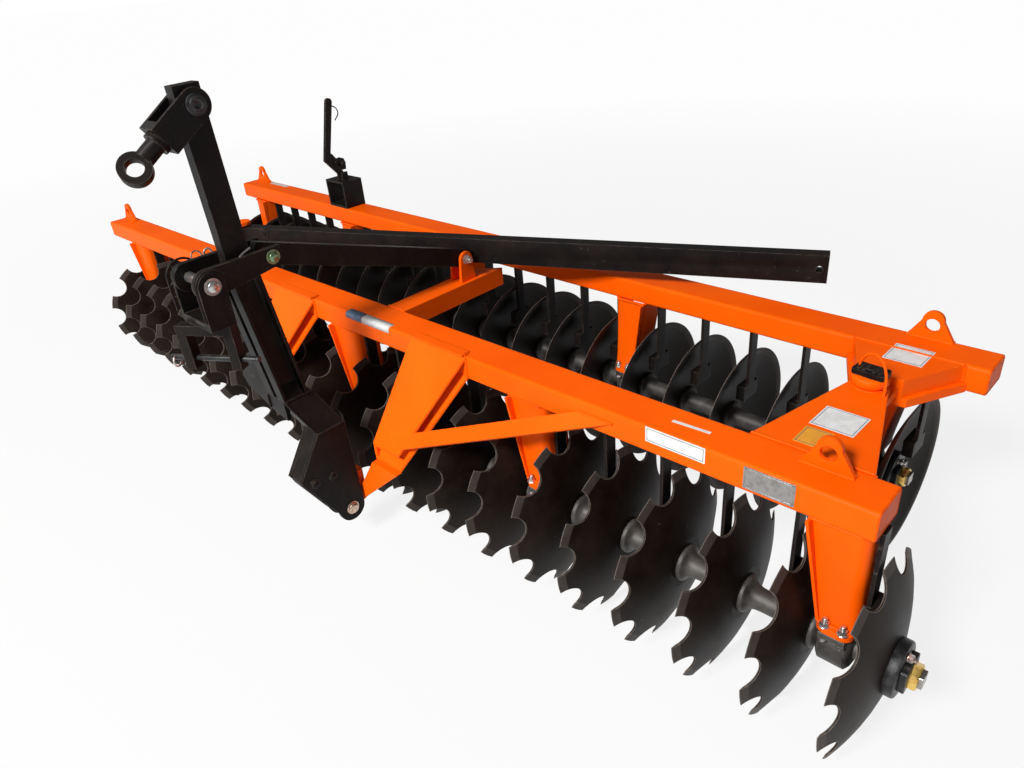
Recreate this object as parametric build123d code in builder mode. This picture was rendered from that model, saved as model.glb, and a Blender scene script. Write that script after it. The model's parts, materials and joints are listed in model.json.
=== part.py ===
"""Offset disc harrow, folded for parking.

Millimetres.  X runs along the gangs to the hinged end, -Y is the way it travels, Z is up from the ground.
Two tubular frames are hinged together at the +X end.  Each carries a gang of discs on a square axle.
The drawbar is folded up over the front frame and a stay bar holds it there.
"""
import math
import os

from build123d import *

os.makedirs("parts", exist_ok=True)

# ---------------------------------------------------------------- driving dimensions
# Datum: rim plane of the first front disc, and the front axle
near_disc_x = 1919.0
front_y = -167.0
disc_radius = 254.0
axle_z = disc_radius

# Gangs
disc_count = 22
disc_pitch = 175.0
disc_thickness = 5.0
dish_depth = 58.0
disc_seat_radius = 70.0
edge_bevel = 22.0
edge_thickness = 1.5
notch_count = 10
notch_radius = 47.0
notch_centre_radius = 252.0
first_tooth_angle = 32.0
tooth_drift = 1.6
gang_spacing = 700.0
rear_gang_inset = 170.0
bearing_gaps = (0, 5, 10, 15, 20)
axle_square = 32.0
axle_overhang = 10.0

# Spools and end washers
flange_radius = 50.0
flange_thickness = 12.0
waist_radius = 28.0
washer_radius = 68.0
washer_thickness = 26.0
nut_across_flats = 55.0
nut_thickness = 30.0

# Bearings and the shanks that hold them
bearing_offset = 63.0
bearing_radius = 60.0
bearing_width = 60.0
bearing_clearance = 0.05
bearing_shoulder = 48.0
bearing_foot_front = 68.0
bearing_foot_rear = 84.0
bearing_foot_height = 62.0
bearing_foot_thickness = 16.0
shank_foot_thickness = 18.0
shank_front = 52.0
shank_rear = 48.0
shank_wall = 12.0
shank_top_out = 89.0
shank_top_in = 38.0
shank_foot_out = 42.0
shank_foot_in = 41.0
shank_corner = 26.0
foot_plate_out = 42.0
foot_plate_in = 41.0

# Frame beams
beam_bottom = 350.0
beam_height = 75.0
beam_width = 120.0
beam_corner = 10.0
beam_near_inset = 17.0
beam_length = 3920.0
front_beam_length = 3855.0
rear_beam_y = 713.0
opening_angle = 1.3

# Hinge at the near end
hinge_inset = 220.0
hinge_y = 415.0
hinge_lug_radius = 48.0
hinge_lug_thickness = 20.0
hinge_pin_radius = 22.0
hinge_clearance = 0.05
hinge_gap = 5.5
front_arm_base_out = 130.0
front_arm_base_in = 152.0
hinge_throat = 70.0
rear_arm_base_out = 137.0
rear_arm_base_in = 146.0
rear_arm_tip_half = 58.0
rear_arm_lip = 14.0
rear_arm_lip_height = 26.0
hinge_head_radius = 40.0
hinge_head = 33.0
hinge_cap_length = 84.0
hinge_cap_width = 54.0
hinge_cap_thickness = 15.0

# Lifting eyes
front_near_eye_inset = 139.0
front_far_eye_inset = 69.0
rear_near_eye_inset = 178.0
rear_far_eye_inset = 62.0
eye_width = 122.0
eye_crown_radius = 28.0
eye_crown_height = 53.0
eye_hole_radius = 19.0
eye_hole_height = 40.0
eye_thickness = 14.0
front_eye_y = 26.0
rear_eye_y = 46.0

# Scrapers
scraper_width = 40.0
scraper_thickness = 10.0
scraper_clearance = 8.0
scraper_reach = 96.0
scraper_blade_height = 52.0
scraper_blade_width = 84.0
scraper_blade_depth = 30.0

# Hitch: struts, arms and cross tube on the front frame
hitch_inset = 1655.0
strut_inner = 219.0
strut_outer = 466.0
knee_y = -268.0
knee_inner = 214.0
knee_outer = 339.0
knee_bottom = 72.0
knee_height = 66.0
strut_spacing = 795.0
strut_wall = 12.0
arm_inner = 74.0
arm_thickness = 32.0
arm_front_y = -287.0
arm_rear_y = -263.0
arm_neck_top = -10.0
pivot_y = -342.0
pivot_z = -115.0
pivot_radius = 18.0
pivot_eye_radius = 40.0
far_strut_y = -252.0
brace_root_z = 392.0
brace_root_inner = 887.0
brace_root_outer = 996.0
brace_slope = 50.0
brace_tip_high = 242.0
brace_tip_low = 306.0
brace_thickness = 12.0
cross_tube_width = 88.0
cross_tube_height = 68.0
cross_tube_end_y = 498.0
cross_tube_mitre = 36.0

# Drawbar, folded up
yoke_outer = 130.0
yoke_inner = 52.0
yoke_plate = 15.0
yoke_top_z = 206.0
yoke_top_front_y = -400.0
yoke_top_rear_y = -302.0
yoke_nose_y = -494.0
yoke_nose_z = 70.0
yoke_foot_radius = 47.0
yoke_chin_front = 28.0
yoke_chin_drop = 38.0
yoke_leg_top_inner = -37.0
yoke_leg_top_outer = 53.0
yoke_leg_front_y = -440.0
yoke_leg_rear_y = -343.0
yoke_wedge_height = 46.0
yoke_wedge_clearance = 2.0
gusset_thickness = 15.0
gusset_bottom = 240.0
gusset_outline = ((-50, 258), (-174, 301), (-195, 330), (-191, 365), (-175, 392), (-105, 440), (-51, 468))
channel_half_width = 50.0
channel_depth = 84.0
channel_wall = 9.0
channel_gap = 20.0
channel_foot_y = -399.0
channel_foot_z = 310.0
channel_length = 405.0
channel_lean = 7.6
link_plate = 15.0
link_front_radius = 42.0
link_rear_y = -342.0
link_rear_top_z = 785.0
link_rear_bottom_z = 731.0
front_pin_y = -566.0
front_pin_z = 740.0
stay_pin_y = -369.0
stay_pin_z = 757.0
link_pin_radius = 15.0
pin_head_radius = 16.0
pin_head = 12.0
head_gap = 1.0
mast_width = 40.0
mast_depth = 73.0
mast_foot_y = -446.0
mast_foot_z = 720.0
mast_length = 504.0
mast_lean = 1.8

# Clevis and tow eye at the mast head
clevis_pin_below_top = 48.9
clevis_pin_rearward = 4.3
clevis_pin_radius = 14.0
clevis_head_radius = 27.0
clevis_plate = 10.0
clevis_side_gap = 7.0
clevis_half_height = 41.0
clevis_length = 124.0
clevis_block = 26.0
clevis_droop = 35.0
eye_collar_radius = 33.0
eye_collar = 12.0
eye_collar_gap = 0.5
eye_shank_radius = 24.0
eye_spigot_radius = 16.0
eye_head_radius = 22.0
eye_head = 10.0
running_clearance = 0.05
tow_ring_distance = 216.0
tow_ring_radius = 41.0
tow_ring_hole = 23.0
tow_ring_thickness = 32.0
tow_ring_turn = 38.0

# Stay bar between the drawbar and the cross tube
stay_clevis_y = 374.0
stay_clevis_z = 506.0
stay_height = 64.0
stay_thickness = 26.0
stay_end_radius = 28.0
stay_side_gap = 5.0
stay_bolt_radius = 12.0
stay_eye_radius = 17.0
clevis_ear = 12.0
clevis_ear_base = 72.0

# Long adjusting bar, stowed across the frames
bar_pivot_beyond_hitch = 985.0
bar_pivot_inset = hitch_inset + bar_pivot_beyond_hitch
bar_pivot_y = 60.0
bar_bolt_radius = 12.0
bar_gap = 5.5
bar_height = 90.0
bar_width = 50.0
bar_length = 2260.0
bar_end_radius = 30.0
bar_hole_radius = 11.0
bar_hole_inset = 26.0
bar_angle = 21.8
bracket_plate = 14.0
bracket_post = 40.0
bracket_radius = 34.0
bracket_web = 20.0

# Latch on the rear beam, and the fork that hangs on the drawbar
latch_inset = 2940.0
latch_length = 150.0
latch_width = 110.0
latch_height = 130.0
latch_wall = 9.0
latch_window = 132.0
lever_ear = 10.0
lever_ear_height = 34.0
lever_gap = 5.0
lever_width = 34.0
lever_thickness = 16.0
lever_bolt_radius = 8.0
lever_boss_margin = 1.0
lever_knee_y = -70.0
lever_knee_z = 85.0
lever_top_y = -3.0
lever_top_z = 345.0
fork_hanger = 12.0
fork_hanger_gap = 5.0
fork_hanger_radius = 38.0
fork_block_top = 640.0
fork_block_height = 22.0
fork_turn = 31.0
fork_y = -583.0
fork_half_width = 88.0
fork_leg = 30.0
fork_depth = 36.0
fork_foot_z = 482.0
fork_pin_z = 512.0
fork_pin_radius = 9.0
fork_pin_length = 280.0

# ---------------------------------------------------------------- shared values
hinge_x = near_disc_x - hinge_inset
dish_radius = (disc_radius**2 + dish_depth**2) / (2 * dish_depth)


def dish_height(radius):
    """Height of the disc's convex face above its rim plane."""
    return math.sqrt(dish_radius**2 - radius**2) - (dish_radius - dish_depth)


seat_height = dish_height(disc_seat_radius)
spool_length = disc_pitch - disc_thickness

# The front frame stands square.  The rear frame is turned about the hinge by the opening angle.
front = Plane((near_disc_x, front_y, axle_z))
hinge_turn = (
    Location((hinge_x, front_y + hinge_y, 0))
    * Location((0, 0, 0), (0, 0, -opening_angle))
    * Location((-hinge_x, -front_y - hinge_y, 0))
)
rear = Plane(hinge_turn * front.location)


def side_plane(base, x):
    """Upright plane across the gangs: its x is rearward, its y is up, and it faces +X."""
    return Plane(base.from_local_coords((x, 0, 0)), x_dir=base.y_dir, z_dir=base.x_dir)


def face_plane(base, y):
    """Upright plane along the gangs: its x is base X, its y is up, and it faces forward."""
    return Plane(base.from_local_coords((0, y, 0)), x_dir=base.x_dir, z_dir=-base.y_dir)


def save(builder, label):
    builder.part.label = label
    export_step(builder.part, f"parts/{label}.step")


# ---------------------------------------------------------------- beams
def beam(label, base, y, length):
    with BuildPart() as tube:
        with BuildSketch(side_plane(base, -beam_near_inset)):
            with Locations((y, beam_bottom + beam_height / 2)):
                RectangleRounded(beam_width, beam_height, beam_corner)
        extrude(amount=-length)
    save(tube, label)


beam("front_beam", front, 0, front_beam_length)
beam("rear_beam", rear, rear_beam_y, beam_length)


# ---------------------------------------------------------------- lifting eyes
def lifting_eyes(label, base, y, length, near_inset, far_inset):
    middles = (-beam_near_inset - near_inset, -beam_near_inset - length + far_inset)
    crown = beam_bottom + beam_height + eye_crown_height
    with BuildPart() as eyes:
        with BuildSketch(face_plane(base, y - eye_thickness / 2)):
            for x in middles:
                with BuildLine():
                    Polyline(
                        (x - eye_width / 2, beam_bottom + beam_height),
                        (x + eye_width / 2, beam_bottom + beam_height),
                        (x + eye_crown_radius, crown),
                    )
                    RadiusArc((x + eye_crown_radius, crown), (x - eye_crown_radius, crown), -eye_crown_radius)
                    Line((x - eye_crown_radius, crown), (x - eye_width / 2, beam_bottom + beam_height))
                make_face()
                with Locations((x, beam_bottom + beam_height + eye_hole_height)):
                    Circle(eye_hole_radius, mode=Mode.SUBTRACT)
        extrude(amount=-eye_thickness)
    save(eyes, label)


lifting_eyes("front_lifting_eyes", front, front_eye_y, front_beam_length, front_near_eye_inset, front_far_eye_inset)
lifting_eyes(
    "rear_lifting_eyes", rear, rear_beam_y + rear_eye_y, beam_length, rear_near_eye_inset, rear_far_eye_inset
)

# ---------------------------------------------------------------- gangs
# side is +1 where the domed face looks to the hinged end, and -1 where it looks the other way
def disc_blank(plane):
    """Profile of half a disc, turned about the plane's y axis, with its rim at height 0."""
    outer = disc_radius - edge_bevel
    with BuildPart() as blank:
        with BuildSketch(plane):
            with BuildLine():
                inner_radius = dish_radius - disc_thickness
                inner_drop = dish_radius - dish_depth
                inner_edge = math.sqrt(inner_radius**2 - inner_drop**2)
                seat_back = seat_height - disc_thickness
                seat_inner = math.sqrt(inner_radius**2 - (seat_back + inner_drop) ** 2)
                rim_back = -edge_thickness
                Polyline((seat_inner, seat_back), (0, seat_back), (0, seat_height), (disc_seat_radius, seat_height))
                RadiusArc((disc_seat_radius, seat_height), (outer, dish_height(outer)), dish_radius)
                Polyline((outer, dish_height(outer)), (disc_radius, 0), (disc_radius, rim_back), (inner_edge, 0))
                RadiusArc((seat_inner, seat_back), (inner_edge, 0), inner_radius)
            make_face()
        revolve(axis=Axis(plane.origin, plane.y_dir))
    return blank.part


def discs(label, base, first_x, axle_y, side, notched):
    rim_plane = Plane(base.from_local_coords((first_x, axle_y, 0)), x_dir=base.y_dir, z_dir=side * base.x_dir)
    profile_plane = Plane(rim_plane.origin, x_dir=base.y_dir, z_dir=-side * base.z_dir)
    with BuildPart(mode=Mode.PRIVATE) as disc:
        add(disc_blank(profile_plane))
        if notched:
            with BuildSketch(rim_plane.offset(-dish_depth)):
                with PolarLocations(notch_centre_radius, notch_count, start_angle=first_tooth_angle):
                    Circle(notch_radius)
            extrude(amount=3 * dish_depth, mode=Mode.SUBTRACT)
    axis = Axis(rim_plane.origin, base.x_dir)
    with BuildPart() as gang:
        add(
            [
                disc.part.rotate(axis, -tooth_drift * k).moved(Location(base.x_dir * (-disc_pitch * k)))
                for k in range(disc_count)
            ]
        )
        with BuildSketch(rim_plane.offset(-side * disc_pitch * disc_count)):
            Rectangle(axle_square, axle_square)
        extrude(amount=side * disc_pitch * (disc_count + 1), mode=Mode.SUBTRACT)
    save(gang, label)


def seats(first_x, side, k):
    """Near and far ends of the spool between disc k and disc k + 1."""
    near = first_x - disc_pitch * k + side * seat_height - (disc_thickness if side > 0 else 0)
    return near, near - spool_length


def spools(label, base, first_x, axle_y, side):
    origin = base.from_local_coords((first_x, axle_y, 0))
    profile = Plane(origin, x_dir=base.x_dir, z_dir=-base.y_dir)
    with BuildPart() as row:
        with BuildSketch(profile):
            for k in range(disc_count - 1):
                near, far = seats(0, side, k)
                waist = waist_radius
                with BuildLine():
                    Polyline(
                        (near, waist),
                        (near, flange_radius),
                        (near - flange_thickness, flange_radius),
                        (near - 2 * flange_thickness, waist),
                        (far + 2 * flange_thickness, waist),
                        (far + flange_thickness, flange_radius),
                        (far, flange_radius),
                        (far, 0),
                        (near, 0),
                        (near, waist),
                    )
                make_face()
        revolve(axis=Axis(origin, base.x_dir))
        with BuildSketch(Plane(origin, x_dir=base.y_dir, z_dir=base.x_dir)):
            Rectangle(axle_square, axle_square)
        extrude(amount=disc_pitch * (disc_count + 1), both=True, mode=Mode.SUBTRACT)
    save(row, label)


def axle_ends(first_x, side):
    """Outer faces of the first and the last disc."""
    near = first_x + side * seat_height + (0 if side > 0 else disc_thickness)
    far = first_x - disc_pitch * (disc_count - 1) + side * seat_height - (disc_thickness if side > 0 else 0)
    return near, far


def axle(label, base, first_x, axle_y, side):
    near, far = axle_ends(first_x, side)
    end = washer_thickness + nut_thickness + axle_overhang
    origin = base.from_local_coords((far - end, axle_y, 0))
    with BuildPart() as bar:
        with BuildSketch(Plane(origin, x_dir=base.y_dir, z_dir=base.x_dir)):
            Rectangle(axle_square, axle_square)
        extrude(amount=near - far + 2 * end)
    save(bar, label)


def end_washers(label, base, first_x, axle_y, side):
    near, far = axle_ends(first_x, side)
    with BuildPart() as washers:
        for x, outward in ((near, 1), (far, -1)):
            seat = Plane(base.from_local_coords((x, axle_y, 0)), x_dir=base.y_dir, z_dir=base.x_dir)
            with BuildSketch(seat):
                Circle(washer_radius)
            extrude(amount=outward * washer_thickness)
            with BuildSketch(seat.offset(outward * washer_thickness)):
                RegularPolygon(nut_across_flats / 2, 6, major_radius=False)
            extrude(amount=outward * nut_thickness)
            with BuildSketch(seat):
                Rectangle(axle_square, axle_square)
            extrude(amount=outward * (washer_thickness + nut_thickness), mode=Mode.SUBTRACT)
    save(washers, label)


def bearing_centre(first_x, side, k):
    if side > 0:
        return first_x - disc_pitch * k - bearing_offset
    return first_x - disc_pitch * (k + 1) + bearing_offset


def bearings(label, base, first_x, axle_y, side):
    with BuildPart() as housings:
        for k in bearing_gaps:
            x = bearing_centre(first_x, side, k)
            with BuildSketch(side_plane(base, x - bearing_width / 2)):
                with Locations((axle_y, 0)):
                    Circle(bearing_radius)
                foot_length = bearing_foot_front + bearing_foot_rear
                foot_middle = axle_y + (bearing_foot_rear - bearing_foot_front) / 2
                with Locations((foot_middle, bearing_foot_height - bearing_foot_thickness / 2)):
                    Rectangle(foot_length, bearing_foot_thickness)
                with Locations((axle_y, (bearing_foot_height - bearing_foot_thickness) / 2)):
                    Rectangle(2 * bearing_shoulder, bearing_foot_height - bearing_foot_thickness)
                with Locations((axle_y, 0)):
                    Circle(waist_radius + bearing_clearance, mode=Mode.SUBTRACT)
            extrude(amount=bearing_width)
    save(housings, label)


def shanks(label, base, first_x, axle_y, side):
    """Folded shanks, open to the rear, each on a foot plate bolted to its bearing."""
    foot_top = bearing_foot_height + shank_foot_thickness
    with BuildPart() as legs:
        for k in bearing_gaps:
            x = bearing_centre(first_x, side, k)
            outline = (
                (x - side * shank_foot_out, foot_top),
                (x - side * shank_top_out, beam_bottom),
                (x + side * shank_top_in, beam_bottom),
                (x + side * shank_foot_in, foot_top),
            )
            hollow = (
                (x - side * (shank_foot_out - shank_wall), foot_top),
                (x - side * (shank_top_out - shank_wall), beam_bottom),
                (x + side * (shank_top_in - shank_wall), beam_bottom),
                (x + side * (shank_foot_in - shank_wall), foot_top),
            )
            with BuildSketch(face_plane(base, axle_y - shank_front)):
                Polygon(*outline, align=None)
            extrude(amount=-(shank_front + shank_rear))
            with BuildSketch(face_plane(base, axle_y - shank_front + shank_wall)):
                Polygon(*hollow, align=None)
            extrude(amount=-(shank_front + shank_rear), mode=Mode.SUBTRACT)
            foot_length = bearing_foot_front + bearing_foot_rear
            foot_middle = axle_y + (bearing_foot_rear - bearing_foot_front) / 2
            foot_x = x + side * (foot_plate_in - foot_plate_out) / 2
            with BuildSketch(base.offset(bearing_foot_height)):
                with Locations((foot_x, foot_middle)):
                    RectangleRounded(foot_plate_in + foot_plate_out, foot_length, shank_corner)
            extrude(amount=shank_foot_thickness)
    save(legs, label)


def scrapers(label, base, first_x, axle_y, side):
    """One bar for each disc, from the beam down into the hollow side of the dish."""
    top = beam_bottom
    with BuildPart() as bars:
        for k in range(disc_count):
            rim_x = first_x - disc_pitch * k
            face = rim_x - side * scraper_clearance
            bar_x = face - side * scraper_thickness / 2
            with BuildSketch(base.offset(scraper_reach)):
                with Locations((bar_x, axle_y)):
                    Rectangle(scraper_thickness, scraper_width)
            extrude(amount=top - scraper_reach)
            blade_x = face + side * scraper_blade_depth / 2 - side * scraper_thickness
            with BuildSketch(base.offset(scraper_reach)):
                with Locations((blade_x, axle_y)):
                    Rectangle(scraper_blade_depth, scraper_blade_width)
            extrude(amount=scraper_blade_height)
    save(bars, label)


# columns: name, base plane, first rim plane, axle y, side of the domed face, notched
gangs = (
    ("front", front, 0.0, 0.0, 1, True),
    ("rear", rear, -rear_gang_inset, gang_spacing, -1, False),
)
for name, base, first_x, axle_y, side, notched in gangs:
    discs(f"{name}_discs", base, first_x, axle_y, side, notched)
    spools(f"{name}_spools", base, first_x, axle_y, side)
    axle(f"{name}_axle", base, first_x, axle_y, side)
    end_washers(f"{name}_end_washers", base, first_x, axle_y, side)
    bearings(f"{name}_bearings", base, first_x, axle_y, side)
    shanks(f"{name}_shanks", base, first_x, axle_y, side)
    scrapers(f"{name}_scrapers", base, first_x, axle_y, side)


# ---------------------------------------------------------------- hinge between the frames
arm_bottom = beam_bottom
arm_top = beam_bottom + beam_height
tongue_thickness = beam_height - 2 * hinge_lug_thickness - 2 * hinge_gap
tongue_bottom = arm_bottom + hinge_lug_thickness + hinge_gap

with BuildPart() as front_hinge_arm:
    with BuildSketch(front.offset(arm_bottom)):
        Polygon(
            (-hinge_inset - front_arm_base_out, beam_width / 2),
            (-hinge_inset + front_arm_base_in, beam_width / 2),
            (-hinge_inset + hinge_lug_radius, hinge_y),
            (-hinge_inset - hinge_lug_radius, hinge_y),
            align=None,
        )
        with Locations((-hinge_inset, hinge_y)):
            Circle(hinge_lug_radius)
            Circle(hinge_pin_radius, mode=Mode.SUBTRACT)
    extrude(amount=beam_height)
    with BuildSketch(front.offset(arm_bottom + hinge_lug_thickness)):
        with Locations((-hinge_inset, hinge_y - hinge_throat)):
            Rectangle(beam_length, 2 * beam_width + hinge_throat, align=(Align.CENTER, Align.MIN))
    extrude(amount=beam_height - 2 * hinge_lug_thickness, mode=Mode.SUBTRACT)
save(front_hinge_arm, "front_hinge_arm")

with BuildPart() as rear_hinge_arm:
    for lip, height in ((0, beam_height), (rear_arm_lip, rear_arm_lip_height)):
        with BuildSketch(rear.offset(arm_bottom)):
            Polygon(
                (-hinge_inset - rear_arm_base_out - lip, rear_beam_y - beam_width / 2),
                (-hinge_inset + rear_arm_base_in + lip, rear_beam_y - beam_width / 2),
                (-hinge_inset + rear_arm_tip_half + lip, hinge_y + hinge_throat),
                (-hinge_inset - rear_arm_tip_half - lip, hinge_y + hinge_throat),
                align=None,
            )
        extrude(amount=height)
    with BuildSketch(rear.offset(tongue_bottom)):
        with Locations((-hinge_inset, hinge_y)):
            Rectangle(2 * hinge_lug_radius, hinge_throat, align=(Align.CENTER, Align.MIN))
            Circle(hinge_lug_radius)
            Circle(hinge_pin_radius + hinge_clearance, mode=Mode.SUBTRACT)
    extrude(amount=tongue_thickness)
save(rear_hinge_arm, "rear_hinge_arm")

with BuildPart() as hinge_pin:
    with BuildSketch(front.offset(arm_bottom)):
        with Locations((-hinge_inset, hinge_y)):
            Circle(hinge_pin_radius)
    extrude(amount=beam_height)
    with BuildSketch(front.offset(arm_top)):
        with Locations((-hinge_inset, hinge_y)):
            Circle(hinge_head_radius)
    extrude(amount=hinge_head)
save(hinge_pin, "hinge_pin")

with BuildPart() as hinge_cap:
    with BuildSketch(front.offset(arm_top + hinge_head)):
        with Locations((-hinge_inset, hinge_y)):
            RectangleRounded(hinge_cap_length, hinge_cap_width, hinge_cap_thickness)
    extrude(amount=hinge_cap_thickness)
save(hinge_cap, "hinge_cap")

# ---------------------------------------------------------------- hitch on the front frame
hitch = Plane(front.from_local_coords((-hitch_inset, 0, 0)))
sides = (1, -1)

# The clevis pin goes through the mast, a set distance below its top
lean = math.radians(mast_lean)
clevis_pin_up = mast_length - clevis_pin_below_top
clevis_pin_y = mast_foot_y - clevis_pin_up * math.sin(lean) + clevis_pin_rearward * math.cos(lean)
clevis_pin_z = mast_foot_z + clevis_pin_up * math.cos(lean) + clevis_pin_rearward * math.sin(lean)


def crossways(x):
    """Plane across the hitch at x from its middle: its x is rearward and its y is up."""
    return side_plane(hitch, x)


def slab(half_gap, thickness, side):
    """Plane and signed thickness of a plate that stands half_gap outside the middle."""
    return crossways(side * half_gap), side * thickness


with BuildPart() as hitch_struts:
    for start in (0, -strut_spacing):
        # the strut's outside, then its hollow, which is open along the near side
        for wall, open_side, mode in ((0, 0, Mode.ADD), (strut_wall, strut_outer, Mode.SUBTRACT)):
            for y, inner, outer, bottom, height in (
                (-beam_width / 2, strut_inner, strut_outer, arm_bottom, beam_height),
                (knee_y, knee_inner, knee_outer, knee_bottom, knee_height),
            ):
                with BuildSketch(face_plane(hitch, y)):
                    with Locations((start + (inner + wall + outer + open_side) / 2, bottom + height / 2)):
                        Rectangle(outer + open_side - inner - wall, height - 2 * wall)
            loft(mode=mode)
    # the far strut stops a little short of the near one
    with BuildSketch(face_plane(hitch, far_strut_y)):
        with Locations((-strut_spacing, 0)):
            Rectangle(strut_spacing + strut_inner, beam_length)
    extrude(amount=beam_width, mode=Mode.SUBTRACT)
save(hitch_struts, "hitch_struts")

arm_depth = arm_rear_y - arm_front_y
with BuildPart() as hitch_arms:
    for z, inner, outer in (
        (pivot_z - arm_depth / 2, arm_inner, arm_inner + arm_thickness),
        (knee_bottom, knee_inner, knee_outer),
    ):
        with BuildSketch(hitch.offset(z)):
            with Locations(((inner + outer) / 2, (arm_front_y + arm_rear_y) / 2)):
                Rectangle(outer - inner, arm_depth)
    loft()
    with BuildSketch(crossways(arm_inner)):
        Polygon(
            (arm_rear_y, arm_neck_top),
            (arm_front_y, arm_neck_top),
            (pivot_y - pivot_eye_radius, pivot_z),
            (pivot_y, pivot_z - pivot_eye_radius),
            (arm_rear_y, pivot_z - arm_depth / 2),
            align=None,
        )
        with Locations((pivot_y, pivot_z)):
            Circle(pivot_eye_radius)
            Circle(pivot_radius + running_clearance, mode=Mode.SUBTRACT)
    extrude(amount=arm_thickness)
save(hitch_arms, "hitch_arms")

# The brace lies in one sloping plane from the beam's face down to the near strut's outer edge
brace_plane = Plane(
    hitch.from_local_coords((0, -beam_width / 2, brace_root_z)),
    x_dir=(1, 0, 0),
    z_dir=(0, -math.sin(math.radians(brace_slope)), math.cos(math.radians(brace_slope))),
)


def strut_edge(down):
    """How far the near strut's outer edge stands from the hitch's middle, at a distance down the brace."""
    forward = down * math.cos(math.radians(brace_slope))
    return strut_outer + (knee_outer - strut_outer) * forward / (-beam_width / 2 - knee_y)


with BuildPart() as strut_brace:
    with BuildSketch(brace_plane):
        Polygon(
            (brace_root_inner, 0),
            (brace_root_outer, 0),
            (strut_edge(brace_tip_low), -brace_tip_low),
            (strut_edge(brace_tip_high), -brace_tip_high),
            align=None,
        )
    extrude(amount=-brace_thickness)
    with BuildSketch(face_plane(front, -beam_width / 2)):
        Rectangle(4 * beam_length, 4 * beam_length)
    extrude(amount=-2 * beam_width, mode=Mode.SUBTRACT)
    add(hitch_struts.part, mode=Mode.SUBTRACT)
save(strut_brace, "strut_brace")

with BuildPart() as cross_tube:
    with BuildSketch(hitch.offset(arm_top - cross_tube_height)):
        Polygon(
            (-cross_tube_width / 2, beam_width / 2),
            (cross_tube_width / 2, beam_width / 2),
            (cross_tube_width / 2, cross_tube_end_y + cross_tube_mitre),
            (-cross_tube_width / 2, cross_tube_end_y - cross_tube_mitre),
            align=None,
        )
    extrude(amount=cross_tube_height)
save(cross_tube, "cross_tube")

ear_half_gap = stay_thickness / 2 + stay_side_gap
with BuildPart() as stay_clevis:
    for side in sides:
        plane, amount = slab(ear_half_gap, clevis_ear, side)
        with BuildSketch(plane):
            Polygon(
                (stay_clevis_y - clevis_ear_base / 2, arm_top),
                (stay_clevis_y + clevis_ear_base / 2, arm_top),
                (stay_clevis_y + stay_end_radius, stay_clevis_z),
                (stay_clevis_y - stay_end_radius, stay_clevis_z),
                align=None,
            )
            with Locations((stay_clevis_y, stay_clevis_z)):
                Circle(stay_end_radius)
        extrude(amount=amount)
    with BuildSketch(crossways(0)):
        with Locations((stay_clevis_y, stay_clevis_z)):
            Circle(stay_bolt_radius)
    extrude(amount=ear_half_gap, both=True)
save(stay_clevis, "stay_clevis")

# ---------------------------------------------------------------- drawbar, folded up
with BuildPart() as yoke_head:
    # the leg, from the foot of the channels out to the fork
    for z, inner, outer, front_edge, rear_edge in (
        (yoke_top_z, yoke_inner, yoke_outer, yoke_top_front_y, yoke_top_rear_y),
        (channel_foot_z, yoke_leg_top_inner, yoke_leg_top_outer, yoke_leg_front_y, yoke_leg_rear_y),
    ):
        with BuildSketch(hitch.offset(z)):
            with Locations(((inner + outer) / 2, (front_edge + rear_edge) / 2)):
                Rectangle(outer - inner, rear_edge - front_edge)
    loft()
    for start in (yoke_outer - yoke_plate, yoke_inner):
        with BuildSketch(crossways(start)):
            Polygon(
                (yoke_top_front_y, yoke_top_z),
                (yoke_nose_y, yoke_nose_z),
                (pivot_y - yoke_chin_front, pivot_z - yoke_chin_drop),
                (pivot_y + yoke_foot_radius, pivot_z),
                (yoke_top_rear_y, yoke_top_z),
                align=None,
            )
            with Locations((pivot_y, pivot_z)):
                Circle(yoke_foot_radius)
                Circle(pivot_radius, mode=Mode.SUBTRACT)
        extrude(amount=yoke_plate)
    # the leg's slope carries on inside the near channel, up to its web
    web = channel_gap / 2 + channel_wall
    with BuildSketch(face_plane(hitch, channel_foot_y - channel_depth / 2 + channel_wall + yoke_wedge_clearance)):
        Polygon(
            (yoke_leg_top_outer, channel_foot_z),
            (web, channel_foot_z),
            (web, channel_foot_z + yoke_wedge_height),
            align=None,
        )
    extrude(amount=-(channel_depth - 2 * channel_wall - yoke_wedge_height / 4))
    with BuildSketch(face_plane(hitch, yoke_leg_front_y)):
        Polygon(
            (yoke_inner - yoke_plate, gusset_bottom),
            *gusset_outline,
            (gusset_outline[-1][0], channel_foot_z),
            (yoke_inner - yoke_plate, channel_foot_z),
            align=None,
        )
    extrude(amount=-gusset_thickness)
save(yoke_head, "yoke_head")

with BuildPart() as pivot_pin:
    with BuildSketch(crossways(yoke_inner - pin_head)):
        with Locations((pivot_y, pivot_z)):
            Circle(pivot_radius)
    extrude(amount=yoke_outer - yoke_inner + 2 * pin_head)
save(pivot_pin, "pivot_pin")


def leaning_plane(y, z, lean):
    """Plane across a member that leans forward: its x is base X and it faces up the member."""
    up = Vector(0, -math.sin(math.radians(lean)), math.cos(math.radians(lean)))
    return Plane(hitch.from_local_coords((0, y, z)), x_dir=hitch.x_dir, z_dir=up)


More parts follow.
